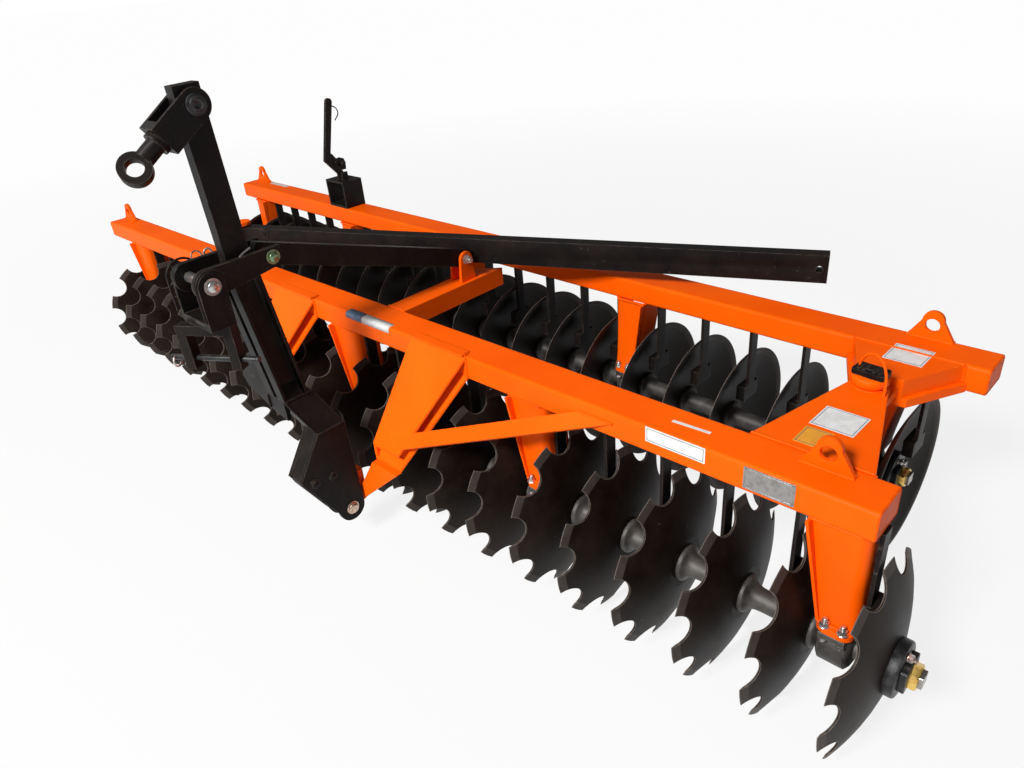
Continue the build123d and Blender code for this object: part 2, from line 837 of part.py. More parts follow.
with BuildPart() as drawbar_channels:
    foot = leaning_plane(channel_foot_y, channel_foot_z, channel_lean)
    with BuildSketch(foot.offset(-channel_depth)):
        for side in sides:
            with Locations((side * (channel_half_width + channel_gap / 2) / 2, 0)):
                Rectangle(channel_half_width - channel_gap / 2, channel_depth)
            with Locations((side * (channel_half_width + channel_gap / 2 + channel_wall) / 2, 0)):
                Rectangle(
                    channel_half_width - channel_gap / 2 - channel_wall,
                    channel_depth - 2 * channel_wall,
                    mode=Mode.SUBTRACT,
                )
    extrude(amount=channel_length + channel_depth)
    with BuildSketch(hitch.offset(channel_foot_z)):
        Rectangle(4 * channel_length, 4 * channel_length)
    extrude(amount=-2 * channel_depth, mode=Mode.SUBTRACT)
save(drawbar_channels, "drawbar_channels")

with BuildPart() as link_plates:
    for side in sides:
        plane, amount = slab(channel_half_width, link_plate, side)
        with BuildSketch(plane):
            Polygon(
                (front_pin_y, front_pin_z + link_front_radius),
                (front_pin_y, front_pin_z - link_front_radius),
                (link_rear_y, link_rear_bottom_z),
                (link_rear_y, link_rear_top_z),
                align=None,
            )
            with Locations((front_pin_y, front_pin_z)):
                Circle(link_front_radius)
                Circle(link_pin_radius, mode=Mode.SUBTRACT)
            with Locations((stay_pin_y, stay_pin_z)):
                Circle(link_pin_radius, mode=Mode.SUBTRACT)
        extrude(amount=amount)
save(link_plates, "link_plates")

link_outer = channel_half_width + link_plate
hanger_outer = link_outer + fork_hanger_gap + fork_hanger
with BuildPart() as front_pin:
    with BuildSketch(crossways(0)):
        with Locations((front_pin_y, front_pin_z)):
            Circle(link_pin_radius)
    extrude(amount=hanger_outer + head_gap, both=True)
    for side in sides:
        plane, amount = slab(hanger_outer + head_gap, pin_head, side)
        with BuildSketch(plane):
            with Locations((front_pin_y, front_pin_z)):
                Circle(pin_head_radius)
        extrude(amount=amount)
save(front_pin, "front_pin")

with BuildPart() as stay_pins:
    for side in sides:
        plane, amount = slab(channel_half_width, link_plate, side)
        with BuildSketch(plane):
            with Locations((stay_pin_y, stay_pin_z)):
                Circle(link_pin_radius)
        extrude(amount=amount)
        plane, amount = slab(link_outer, pin_head, side)
        with BuildSketch(plane):
            with Locations((stay_pin_y, stay_pin_z)):
                Circle(pin_head_radius)
        extrude(amount=amount)
save(stay_pins, "stay_pins")

with BuildPart() as mast:
    with BuildSketch(leaning_plane(mast_foot_y, mast_foot_z, mast_lean)):
        Rectangle(mast_width, mast_depth)
    extrude(amount=mast_length)
    with BuildSketch(crossways(0)):
        with Locations((clevis_pin_y, clevis_pin_z)):
            Circle(clevis_pin_radius)
    extrude(amount=mast_width, both=True, mode=Mode.SUBTRACT)
save(mast, "mast")

clevis_inner = mast_width / 2 + clevis_side_gap
clevis_outer = clevis_inner + clevis_plate
with BuildPart() as clevis_pin:
    with BuildSketch(crossways(0)):
        with Locations((clevis_pin_y, clevis_pin_z)):
            Circle(clevis_pin_radius)
    extrude(amount=clevis_outer + head_gap, both=True)
    for side in sides:
        plane, amount = slab(clevis_outer + head_gap, pin_head, side)
        with BuildSketch(plane):
            with Locations((clevis_pin_y, clevis_pin_z)):
                Circle(clevis_head_radius)
        extrude(amount=amount)
save(clevis_pin, "clevis_pin")

# ---------------------------------------------------------------- clevis and tow eye
droop = math.radians(clevis_droop)
clevis_axis = Vector(0, -math.cos(droop), -math.sin(droop))
clevis_origin = hitch.from_local_coords((0, clevis_pin_y, clevis_pin_z))


def clevis_side(x):
    """Plane along the clevis at x from its middle: its x runs out along the clevis."""
    return Plane(Vector(clevis_origin) + Vector(x, 0, 0), x_dir=clevis_axis, z_dir=(1, 0, 0))


def clevis_face(distance):
    """Plane square to the clevis, at a distance from its pin."""
    return Plane(Vector(clevis_origin) + clevis_axis * distance, x_dir=(1, 0, 0), z_dir=clevis_axis)


with BuildPart() as clevis:
    for side in sides:
        with BuildSketch(clevis_side(side * clevis_inner)):
            Rectangle(clevis_length, 2 * clevis_half_height, align=(Align.MIN, Align.CENTER))
            Circle(clevis_half_height)
            Circle(clevis_pin_radius + running_clearance, mode=Mode.SUBTRACT)
        extrude(amount=side * clevis_plate)
    with BuildSketch(clevis_face(clevis_length)):
        Rectangle(2 * clevis_outer, 2 * clevis_half_height)
    extrude(amount=-clevis_block)
    with BuildSketch(clevis_face(clevis_length)):
        Circle(eye_spigot_radius + running_clearance)
    extrude(amount=-clevis_block, mode=Mode.SUBTRACT)
    with BuildSketch(clevis_face(clevis_length - clevis_block)):
        Circle(eye_head_radius + eye_collar_gap)
    extrude(amount=eye_head + eye_collar_gap, mode=Mode.SUBTRACT)
save(clevis, "clevis")

ring_axis = Vector(1, 0, 0).rotate(Axis((0, 0, 0), clevis_axis), tow_ring_turn)
collar_start = clevis_length + eye_collar_gap
with BuildPart() as tow_eye:
    for start, length, radius in (
        (clevis_length - clevis_block, eye_head, eye_head_radius),
        (clevis_length - clevis_block, clevis_block + eye_collar_gap, eye_spigot_radius),
        (collar_start, eye_collar, eye_collar_radius),
        (collar_start, tow_ring_distance - (tow_ring_radius + tow_ring_hole) / 2 - collar_start, eye_shank_radius),
    ):
        with BuildSketch(clevis_face(start)):
            Circle(radius)
        extrude(amount=length)
    ring_plane = Plane(Vector(clevis_origin) + clevis_axis * tow_ring_distance, x_dir=clevis_axis, z_dir=ring_axis)
    with BuildSketch(ring_plane):
        Circle(tow_ring_radius)
    extrude(amount=tow_ring_thickness / 2, both=True)
    with BuildSketch(ring_plane):
        Circle(tow_ring_hole)
    extrude(amount=tow_ring_radius, both=True, mode=Mode.SUBTRACT)
save(tow_eye, "tow_eye")

# ---------------------------------------------------------------- stay bar
stay_run = Vector(0, stay_clevis_y - stay_pin_y, stay_clevis_z - stay_pin_z)
stay_near = Vector(*hitch.from_local_coords((-stay_thickness / 2, stay_pin_y, stay_pin_z)))
with BuildPart() as stay_bar:
    with BuildSketch(Plane(stay_near, x_dir=stay_run, z_dir=(1, 0, 0))):
        with Locations((stay_run.length / 2, 0)):
            Rectangle(stay_run.length, stay_height)
        with Locations((0, 0), (stay_run.length, 0)):
            Rectangle(2 * stay_end_radius, stay_height)
        with Locations((0, 0)):
            Circle(stay_eye_radius, mode=Mode.SUBTRACT)
        with Locations((stay_run.length, 0)):
            Circle(stay_bolt_radius + running_clearance, mode=Mode.SUBTRACT)
    extrude(amount=stay_thickness)
save(stay_bar, "stay_bar")

# ---------------------------------------------------------------- long adjusting bar
bar_bottom = arm_top + bracket_post + bar_gap
bar_home = Plane(
    front.from_local_coords((-bar_pivot_inset, bar_pivot_y, 0)),
    x_dir=Vector(1, 0, 0).rotate(Axis.Z, bar_angle),
)
with BuildPart() as long_bar:
    with BuildSketch(bar_home.offset(bar_bottom)):
        Rectangle(bar_length, bar_width, align=(Align.MIN, Align.CENTER))
        Circle(bar_end_radius)
        Circle(bar_bolt_radius + running_clearance, mode=Mode.SUBTRACT)
    extrude(amount=bar_height)
    with BuildSketch(face_plane(bar_home, 0)):
        with Locations((bar_length - bar_hole_inset, bar_bottom + bar_height / 2)):
            Circle(bar_hole_radius)
    extrude(amount=bar_width, both=True, mode=Mode.SUBTRACT)
save(long_bar, "long_bar")

bracket_back = bracket_radius + bar_gap + bracket_web
bracket_home = front.from_local_coords((-bar_pivot_inset, bar_pivot_y, 0))
with BuildPart() as bar_bracket:
    for z, height in ((arm_top, bracket_post), (bar_bottom + bar_height + bar_gap, bracket_plate)):
        with BuildSketch(Plane(bracket_home).offset(z)):
            Circle(bracket_radius)
            Rectangle(2 * bracket_radius, bracket_back, align=(Align.CENTER, Align.MAX))
        extrude(amount=height)
    with BuildSketch(Plane(bracket_home).offset(arm_top)):
        with Locations((0, -bracket_back)):
            Rectangle(2 * bracket_radius, bracket_web, align=(Align.CENTER, Align.MIN))
    extrude(amount=bracket_post + 2 * bar_gap + bar_height + bracket_plate)
    with BuildSketch(Plane(bracket_home).offset(arm_top)):
        Circle(bar_bolt_radius)
    extrude(amount=bracket_post + 2 * bar_gap + bar_height + bracket_plate)
save(bar_bracket, "bar_bracket")

# ---------------------------------------------------------------- latch on the rear beam
latch = Plane(rear.from_local_coords((-latch_inset, rear_beam_y, arm_top)), x_dir=rear.x_dir, z_dir=rear.z_dir)
ear_inner = lever_thickness / 2 + lever_gap
lever_pivot_z = latch_height + lever_ear_height - lever_width / 2
with BuildPart() as latch_bracket:
    with BuildSketch(latch):
        Rectangle(latch_length, latch_width)
    extrude(amount=latch_height)
    with BuildSketch(latch.offset(latch_wall)):
        Rectangle(latch_window, latch_width)
    extrude(amount=latch_height - 2 * latch_wall, mode=Mode.SUBTRACT)
    for side in sides:
        with BuildSketch(side_plane(latch, side * ear_inner)):
            with Locations((0, latch_height)):
                Rectangle(lever_width, lever_ear_height, align=(Align.CENTER, Align.MIN))
        extrude(amount=side * lever_ear)
    with BuildSketch(side_plane(latch, 0)):
        with Locations((0, lever_pivot_z)):
            Circle(lever_bolt_radius)
    extrude(amount=ear_inner, both=True)
save(latch_bracket, "latch_bracket")

with BuildPart() as latch_lever:
    half = lever_width / 2
    with BuildSketch(side_plane(latch, -lever_thickness / 2)):
        Polygon(
            (half - lever_boss_margin, lever_pivot_z),
            (lever_boss_margin - half, lever_pivot_z),
            (lever_knee_y - half, lever_pivot_z + lever_knee_z),
            (lever_top_y - half, lever_pivot_z + lever_top_z),
            (lever_top_y + half, lever_pivot_z + lever_top_z),
            (lever_knee_y + half, lever_pivot_z + lever_knee_z + half / 2),
            align=None,
        )
        with Locations((0, lever_pivot_z)):
            Circle(half - lever_boss_margin)
            Circle(lever_bolt_radius + running_clearance, mode=Mode.SUBTRACT)
    extrude(amount=lever_thickness)
save(latch_lever, "latch_lever")

# ---------------------------------------------------------------- hanging fork
fork_home = Plane(
    hitch.from_local_coords((0, fork_y, 0)),
    x_dir=Vector(1, 0, 0).rotate(Axis.Z, fork_turn),
)
with BuildPart() as hanging_fork:
    for side in sides:
        plane, amount = slab(link_outer + fork_hanger_gap, fork_hanger, side)
        with BuildSketch(plane):
            Polygon(
                (front_pin_y - fork_hanger_radius, front_pin_z),
                (front_pin_y - fork_hanger_radius, fork_block_top - fork_block_height),
                (front_pin_y + fork_hanger_radius, fork_block_top - fork_block_height),
                (front_pin_y + fork_hanger_radius, front_pin_z),
                align=None,
            )
            with Locations((front_pin_y, front_pin_z)):
                Circle(fork_hanger_radius)
                Circle(link_pin_radius + running_clearance, mode=Mode.SUBTRACT)
        extrude(amount=amount)
    with BuildSketch(hitch.offset(fork_block_top)):
        with Locations((0, front_pin_y)):
            Rectangle(2 * hanger_outer, 2 * fork_hanger_radius)
    extrude(amount=-fork_block_height)
    with BuildSketch(face_plane(fork_home, -fork_depth / 2)):
        with Locations((0, fork_foot_z)):
            Rectangle(2 * fork_half_width, fork_block_top - fork_block_height - fork_foot_z, align=(Align.CENTER, Align.MIN))
            Rectangle(
                2 * (fork_half_width - fork_leg),
                fork_block_top - fork_block_height - fork_leg - fork_foot_z,
                align=(Align.CENTER, Align.MIN),
                mode=Mode.SUBTRACT,
            )
    extrude(amount=-fork_depth)
    with BuildSketch(side_plane(fork_home, 0)):
        with Locations((0, fork_pin_z)):
            Circle(fork_pin_radius)
    extrude(amount=fork_half_width + fork_pin_radius, both=True, mode=Mode.SUBTRACT)
save(hanging_fork, "hanging_fork")

with BuildPart() as fork_pin:
    with BuildSketch(side_plane(fork_home, 0)):
        with Locations((0, fork_pin_z)):
            Circle(fork_pin_radius)
    extrude(amount=fork_pin_length / 2, both=True)
save(fork_pin, "fork_pin")
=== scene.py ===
"""Looks of the disc harrow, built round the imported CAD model.

Lengths in the piece tables are millimetres in a frame's own axes: x from the rim plane of the first
front disc, y and z from the front axle.  FRONT and REAR turn them into metres in the shared frame.
"""
import json
import math

import bmesh
import bpy
from mathutils import Matrix, Vector, noise


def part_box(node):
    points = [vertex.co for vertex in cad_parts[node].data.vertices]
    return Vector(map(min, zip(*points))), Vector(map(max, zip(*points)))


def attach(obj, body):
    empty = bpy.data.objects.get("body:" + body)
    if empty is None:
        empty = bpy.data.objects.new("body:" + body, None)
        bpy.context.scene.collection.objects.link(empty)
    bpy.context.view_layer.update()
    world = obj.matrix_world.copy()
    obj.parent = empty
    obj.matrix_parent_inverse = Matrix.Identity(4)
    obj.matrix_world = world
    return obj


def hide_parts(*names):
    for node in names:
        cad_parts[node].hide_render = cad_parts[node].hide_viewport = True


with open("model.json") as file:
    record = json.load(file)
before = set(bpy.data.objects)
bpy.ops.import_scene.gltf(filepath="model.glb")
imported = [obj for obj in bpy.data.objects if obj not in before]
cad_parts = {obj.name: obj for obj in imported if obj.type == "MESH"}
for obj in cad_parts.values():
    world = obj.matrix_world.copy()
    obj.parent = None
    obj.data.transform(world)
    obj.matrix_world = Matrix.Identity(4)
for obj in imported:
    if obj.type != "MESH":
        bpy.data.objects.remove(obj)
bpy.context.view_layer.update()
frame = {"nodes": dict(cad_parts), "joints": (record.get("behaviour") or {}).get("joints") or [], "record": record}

joints = {j["name"]: j for j in frame["joints"]}

# ---------------------------------------------------------------- the frame's own axes
beam_near_inset = 17.0
beam_low, beam_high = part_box("front_beam")
axle_low, axle_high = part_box("front_axle")
FRONT = Matrix.Translation(
    (beam_high.x + beam_near_inset / 1000, (beam_low.y + beam_high.y) / 2, (axle_low.z + axle_high.z) / 2)
) @ Matrix.Scale(0.001, 4)
hinge_at = Vector(joints["gang_opening"]["pos_m"])
rear_axis = Vector(joints["rear_gang_spin"]["axis"])
REAR = (
    Matrix.Translation(hinge_at)
    @ Matrix.Rotation(math.atan2(rear_axis.y, rear_axis.x), 4, "Z")
    @ Matrix.Translation(-hinge_at)
    @ FRONT
)
BASES = {"front": FRONT, "rear": REAR}

# Sizes shared with the CAD, in millimetres
disc_radius = 254.0
disc_count = 22
disc_pitch = 175.0
disc_thickness = 5.0
dish_depth = 58.0
disc_seat_radius = 70.0
rim_bevel = 22.0
beam_bottom, beam_top, beam_half = 350.0, 425.0, 60.0
beam_lengths = {"front": 3855.0, "rear": 3920.0}
eye_insets = {"front": (139.0, 69.0), "rear": (178.0, 62.0)}
rear_beam_y = 713.0
gang_spacing = 700.0
rear_gang_inset = 170.0
hitch_x = -1655.0
hinge_x, hinge_y = -220.0, 415.0
bearing_gaps = (0, 5, 10, 15, 20)
bearing_offset = 63.0
dish_radius = (disc_radius**2 + dish_depth**2) / (2 * dish_depth)
seat_height = math.sqrt(dish_radius**2 - disc_seat_radius**2) - (dish_radius - dish_depth)


# ---------------------------------------------------------------- material building
class Nodes:
    """Short calls for the node tree of one material."""

    def __init__(self, name):
        self.material = bpy.data.materials.new(name)
        self.material.use_nodes = True
        self.tree = self.material.node_tree
        self.shader = self.tree.nodes["Principled BSDF"]
        self.coords = self.tree.nodes.new("ShaderNodeTexCoord").outputs["Object"]

    def put(self, socket, value):
        if isinstance(value, bpy.types.NodeSocket):
            self.tree.links.new(value, socket)
        else:
            socket.default_value = value

    def node(self, kind, **settings):
        made = self.tree.nodes.new(kind)
        for key, value in settings.items():
            setattr(made, key, value)
        return made

    def stretched(self, scale):
        mapping = self.node("ShaderNodeMapping")
        self.put(mapping.inputs["Vector"], self.coords)
        mapping.inputs["Scale"].default_value = scale
        return mapping.outputs["Vector"]

    def noise(self, scale, detail=4.0, roughness=0.6, vector=None):
        made = self.node("ShaderNodeTexNoise")
        self.put(made.inputs["Vector"], vector or self.coords)
        made.inputs["Scale"].default_value = scale
        made.inputs["Detail"].default_value = detail
        made.inputs["Roughness"].default_value = roughness
        return made.outputs["Fac"]

    def ramp(self, value, low, high, bottom=0.0, top=1.0):
        made = self.node("ShaderNodeMapRange")
        self.put(made.inputs["Value"], value)
        for socket, number in zip(("From Min", "From Max", "To Min", "To Max"), (low, high, bottom, top)):
            made.inputs[socket].default_value = number
        return made.outputs["Result"]

    def maths(self, operation, first, second=0.0):
        made = self.node("ShaderNodeMath", operation=operation)
        self.put(made.inputs[0], first)
        self.put(made.inputs[1], second)
        return made.outputs[0]

    def mix(self, factor, first, second):
        made = self.node("ShaderNodeMix", data_type="RGBA")
        self.put(made.inputs["Factor"], factor)
        self.put(made.inputs["A"], first if isinstance(first, bpy.types.NodeSocket) else (*first, 1.0))
        self.put(made.inputs["B"], second if isinstance(second, bpy.types.NodeSocket) else (*second, 1.0))
        return made.outputs["Result"]

    def edges(self, radius):
        """1 on sharp edges and 0 on flats."""
        bevel = self.node("ShaderNodeBevel", samples=4)
        bevel.inputs["Radius"].default_value = radius
        geometry = self.node("ShaderNodeNewGeometry")
        dot = self.node("ShaderNodeVectorMath", operation="DOT_PRODUCT")
        self.put(dot.inputs[0], bevel.outputs["Normal"])
        self.put(dot.inputs[1], geometry.outputs["Normal"])
        return self.ramp(dot.outputs["Value"], 0.995, 0.86)

    def bump(self, height, strength, distance):
        made = self.node("ShaderNodeBump")
        made.inputs["Strength"].default_value = strength
        made.inputs["Distance"].default_value = distance
        self.put(made.inputs["Height"], height)
        self.put(self.shader.inputs["Normal"], made.outputs["Normal"])

    def finish(self, colour, roughness, metallic=0.0, sheen=0.5):
        linked = isinstance(colour, bpy.types.NodeSocket)
        self.put(self.shader.inputs["Base Color"], colour if linked else (*colour, 1))
        self.put(self.shader.inputs["Roughness"], roughness)
        self.shader.inputs["Metallic"].default_value = metallic
        self.shader.inputs["Specular IOR Level"].default_value = sheen
        return self.material


def orange_paint():
    n = Nodes("orange_paint")
    cloud = n.noise(3.0, 3.0)
    colour = n.mix(n.ramp(cloud, 0.35, 0.7), (0.93, 0.098, 0.0), (1.0, 0.125, 0.001))
    dust = n.ramp(n.noise(22.0, 8.0, 0.7), 0.60, 0.80, 0.0, 0.30)
    colour = n.mix(dust, colour, (0.80, 0.15, 0.02))
    chips = n.maths("MULTIPLY", n.edges(0.004), n.ramp(n.noise(90.0, 4.0, 0.7), 0.46, 0.60))
    colour = n.mix(n.maths("MULTIPLY", chips, 0.65), colour, (0.30, 0.05, 0.012))
    n.bump(n.noise(260.0, 2.0), 0.12, 0.0006)
    return n.finish(colour, n.ramp(cloud, 0.3, 0.8, 0.42, 0.54), sheen=0.08)


def black_paint():
    n = Nodes("black_paint")
    grain = n.noise(9.0, 8.0, 0.65)
    colour = n.mix(n.ramp(grain, 0.40, 0.72), (0.0075, 0.0064, 0.0062), (0.019, 0.0135, 0.011))
    scratch = n.noise(26.0, 2.0, 0.8, n.stretched((0.35, 9.0, 2.2)))
    scratch = n.maths("MULTIPLY", n.ramp(scratch, 0.66, 0.72), n.ramp(n.noise(6.0, 2.0), 0.45, 0.65))
    colour = n.mix(n.maths("MULTIPLY", scratch, 0.35), colour, (0.16, 0.14, 0.13))
    worn = n.maths("MULTIPLY", n.edges(0.003), n.ramp(n.noise(34.0, 5.0, 0.7), 0.36, 0.58))
    colour = n.mix(n.maths("MULTIPLY", worn, 0.75), colour, (0.17, 0.13, 0.105))
    n.bump(n.noise(180.0, 5.0, 0.7), 0.18, 0.0008)
    return n.finish(colour, n.ramp(grain, 0.3, 0.75, 0.36, 0.52), sheen=0.10)


def disc_steel(name, base, axle_y):
    """Dark rolled steel with specks, a scoured bevel at the rim and a painted highlight along the notch edges."""
    n = Nodes(name)
    axle_point = base @ Vector((0, axle_y, 0))
    across = base.to_3x3() @ Vector((0, 1000, 0))
    separate = n.node("ShaderNodeSeparateXYZ")
    centred = n.node("ShaderNodeVectorMath", operation="SUBTRACT")
    n.put(centred.inputs[0], n.coords)
    centred.inputs[1].default_value = axle_point
    n.put(separate.inputs[0], centred.outputs[0])
    dot = n.node("ShaderNodeVectorMath", operation="DOT_PRODUCT")
    n.put(dot.inputs[0], centred.outputs[0])
    dot.inputs[1].default_value = across
    flat = dot.outputs["Value"]
    up = separate.outputs["Z"]
    radius = n.maths(
        "SQRT", n.maths("ADD", n.maths("MULTIPLY", flat, flat), n.maths("MULTIPLY", up, up))
    )
    mottle = n.noise(7.0, 7.0, 0.65)
    colour = n.mix(n.ramp(mottle, 0.38, 0.72), (0.0085, 0.0050, 0.0036), (0.026, 0.0165, 0.0120))
    speck = n.ramp(n.noise(70.0, 3.0, 0.6), 0.70, 0.76)
    colour = n.mix(n.maths("MULTIPLY", speck, 0.35), colour, (0.20, 0.16, 0.13))
    bevel = disc_radius - rim_bevel
    rim = n.ramp(radius, (bevel - 1) / 1000, (bevel + 1) / 1000)
    rim = n.maths("MULTIPLY", rim, n.ramp(n.noise(16.0, 4.0), 0.25, 0.6, 0.5, 1.0))
    colour = n.mix(rim, colour, (0.060, 0.050, 0.043))
    # Painted highlight: sharp notch edges are lightened to stand in for light catching them
    colour = n.mix(n.maths("MULTIPLY", n.edges(0.0035), 0.8), colour, (0.21, 0.175, 0.15))
    n.bump(n.noise(130.0, 4.0, 0.6), 0.15, 0.0008)
    return n.finish(colour, n.ramp(mottle, 0.3, 0.8, 0.40, 0.56), sheen=0.09)


def cast_iron():
    n = Nodes("cast_iron")
    patch = n.noise(14.0, 6.0, 0.65)
    colour = n.mix(n.ramp(patch, 0.35, 0.7), (0.045, 0.040, 0.037), (0.135, 0.125, 0.115))
    colour = n.mix(n.maths("MULTIPLY", n.edges(0.004), 0.6), colour, (0.34, 0.32, 0.30))
    n.bump(n.noise(210.0, 6.0, 0.75), 0.45, 0.0016)
    return n.finish(colour, n.ramp(patch, 0.3, 0.7, 0.42, 0.62), metallic=0.55)


def cast_dark():
    n = Nodes("cast_dark")
    patch = n.noise(40.0, 6.0, 0.7)
    colour = n.mix(n.ramp(patch, 0.45, 0.7), (0.012, 0.012, 0.013), (0.045, 0.044, 0.044))
    colour = n.mix(n.maths("MULTIPLY", n.edges(0.003), 0.5), colour, (0.16, 0.15, 0.145))
    n.bump(n.noise(240.0, 6.0, 0.75), 0.5, 0.0016)
    return n.finish(colour, n.ramp(patch, 0.3, 0.7, 0.30, 0.48), metallic=0.4)


def machine_steel():
    n = Nodes("machine_steel")
    smear = n.noise(30.0, 5.0, 0.7)
    colour = n.mix(n.ramp(smear, 0.4, 0.7), (0.42, 0.40, 0.38), (0.20, 0.16, 0.13))
    n.bump(n.noise(400.0, 3.0), 0.10, 0.0004)
    return n.finish(colour, n.ramp(smear, 0.3, 0.7, 0.24, 0.42), metallic=0.95)


def plated(name, bright, stain, amount):
    """Zinc-plated fastener with paint or rust on part of it."""
    n = Nodes(name)
    cloud = n.noise(60.0, 4.0, 0.7)
    colour = n.mix(n.ramp(cloud, 0.50, 0.62, 0.0, amount), bright, stain)
    n.bump(n.noise(500.0, 2.0), 0.10, 0.0003)
    return n.finish(colour, n.ramp(cloud, 0.3, 0.7, 0.22, 0.40), metallic=0.9)


def label_film(name, colour, shade):
    n = Nodes(name)
    smear = n.noise(35.0, 5.0, 0.7)
    n.bump(n.noise(45.0, 2.0), 0.15, 0.0006)
    return n.finish(n.mix(n.ramp(smear, 0.35, 0.75), colour, shade), n.ramp(smear, 0.3, 0.7, 0.28, 0.42))


MATERIALS = {
    "orange_paint": orange_paint(),
    "black_paint": black_paint(),
    "front_disc": disc_steel("front_disc", FRONT, 0.0),
    "rear_disc": disc_steel("rear_disc", REAR, gang_spacing),
    "cast_iron": cast_iron(),
    "machine_steel": machine_steel(),
    "cast_dark": cast_dark(),
    "gold_zinc": plated("gold_zinc", (0.83, 0.56, 0.16), (0.62, 0.33, 0.08), 0.7),
    "white_zinc": plated("white_zinc", (0.62, 0.60, 0.58), (0.45, 0.10, 0.05), 0.6),
    "pin_silver": plated("pin_silver", (0.55, 0.54, 0.53), (0.38, 0.14, 0.09), 0.8),
    "pin_green": plated("pin_green", (0.20, 0.30, 0.17), (0.10, 0.12, 0.08), 0.8),
    "pin_copper": plated("pin_copper", (0.62, 0.47, 0.38), (0.35, 0.20, 0.13), 0.8),
    "white_film": label_film("white_film", (0.80, 0.80, 0.79), (0.60, 0.59, 0.57)),
    "yellow_film": label_film("yellow_film", (0.82, 0.36, 0.03), (0.62, 0.25, 0.03)),
    "blue_film": label_film("blue_film", (0.14, 0.22, 0.34), (0.08, 0.12, 0.20)),
    "grey_film": label_film("grey_film", (0.16, 0.15, 0.15), (0.10, 0.10, 0.10)),
    "plate_metal": plated("plate_metal", (0.36, 0.35, 0.34), (0.22, 0.20, 0.18), 0.6),
}

# ---------------------------------------------------------------- the CAD nodes
# Each slot is named after its finish; these nodes have one of their own
own_finish = {
    "front_discs": "front_disc",
    "rear_discs": "rear_disc",
    "hinge_pin": "orange_paint",
    "front_pin": "pin_silver",
    "stay_pins": "pin_green",
    "pivot_pin": "pin_copper",
    "fork_pin": "cast_dark",
}
kept_edges = ("front_beam", "rear_beam", "front_discs", "rear_discs")
edge_radius = 0.0018


def finish_node(name, node, finish):
    """Material of a CAD node, and small round edges unless it keeps its own."""
    node.data.materials.clear()
    node.data.materials.append(MATERIALS[finish])
    if name in kept_edges:
        return
    weld = node.modifiers.new("weld", "WELD")
    weld.merge_threshold = 0.00002
    flat = node.modifiers.new("flat", "DECIMATE")
    flat.decimate_type = "DISSOLVE"
    flat.angle_limit = math.radians(0.5)
    bevel = node.modifiers.new("bevel", "BEVEL")
    bevel.width = edge_radius
    bevel.segments = 2
    bevel.limit_method = "ANGLE"
    bevel.angle_limit = math.radians(35)
    bevel.harden_normals = True


for entry in frame["record"]["subparts"]:
    label = entry["node"]
    finish_node(label, frame["nodes"][label], own_finish.get(label, entry["material_slot"]))

# ---------------------------------------------------------------- mesh helpers
def piece(name, verts, faces, body, finish, slot, base=FRONT, smooth=40, bevel=0.0, thickness=0.0):
    """Mesh from millimetre points in a base's axes, riding on a body."""
    mesh = bpy.data.meshes.new(name)
    mesh.from_pydata([base @ Vector(v) for v in verts], [], faces)
    cleaner = bmesh.new()
    cleaner.from_mesh(mesh)
    bmesh.ops.remove_doubles(cleaner, verts=cleaner.verts, dist=1e-6)
    bmesh.ops.recalc_face_normals(cleaner, faces=cleaner.faces)
    cleaner.to_mesh(mesh)
    cleaner.free()
    for face in mesh.polygons:
        face.use_smooth = True
    mesh.set_sharp_from_angle(angle=math.radians(smooth))
    made = bpy.data.objects.new(name, mesh)
    bpy.context.scene.collection.objects.link(made)
    mesh.materials.append(MATERIALS[finish])
    if thickness:
        solid = made.modifiers.new("solid", "SOLIDIFY")
        solid.thickness = thickness / 1000
        solid.offset = -1.0
        solid.use_even_offset = True
    if bevel:
        edge = made.modifiers.new("bevel", "BEVEL")
        edge.width = bevel / 1000
        edge.segments = 2
        edge.limit_method = "ANGLE"
        edge.angle_limit = math.radians(40)
        edge.harden_normals = True
    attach(made, body)
    return made


def merged(parts):
    """One list of points and faces out of several."""
    verts, faces = [], []
    for more_verts, more_faces in parts:
        start = len(verts)
        verts += more_verts
        faces += [tuple(start + i for i in face) for face in more_faces]
    return verts, faces


def joined(name, parts, body, finish="orange_paint", slot="orange_paint", base=FRONT, **more):
    """One piece out of several solids."""
    return piece(name, *merged(parts), body, finish, slot, base, **more)


def slab(outline, axis, low, high):
    """Plate with a flat outline.  axis x takes (y, z) points, y takes (x, z) and z takes (x, y)."""
    place = {
        "x": lambda a, b, c: (c, a, b),
        "y": lambda a, b, c: (a, c, b),
        "z": lambda a, b, c: (a, b, c),
    }[axis]
    count = len(outline)
    verts = [place(a, b, low) for a, b in outline] + [place(a, b, high) for a, b in outline]
    faces = [tuple(range(count)), tuple(range(count, 2 * count))]
    faces += [(i, (i + 1) % count, count + (i + 1) % count, count + i) for i in range(count)]
    return verts, faces


def rounded(width, height, radius, centre=(0, 0), steps=5):
    """Outline of a rectangle with round corners."""
    points = []
    for turn, sx, sy in ((0, 1, 1), (90, -1, 1), (180, -1, -1), (270, 1, -1)):
        for step in range(steps + 1):
            angle = math.radians(turn + 90 * step / steps)
            points.append(
                (
                    centre[0] + sx * (width / 2 - radius) + radius * math.cos(angle),
                    centre[1] + sy * (height / 2 - radius) + radius * math.sin(angle),
                )
            )
    return points


def turning(direction):
    """Rotation that takes Z to a direction."""
    return Vector(direction).normalized().to_track_quat("Z", "Y").to_matrix()


def on_circle(origin, turn, radius, angle, along=0.0):
    """Point at an angle round an axis, some way along it."""
    return Vector(origin) + turn @ Vector((radius * math.cos(angle), radius * math.sin(angle), along))


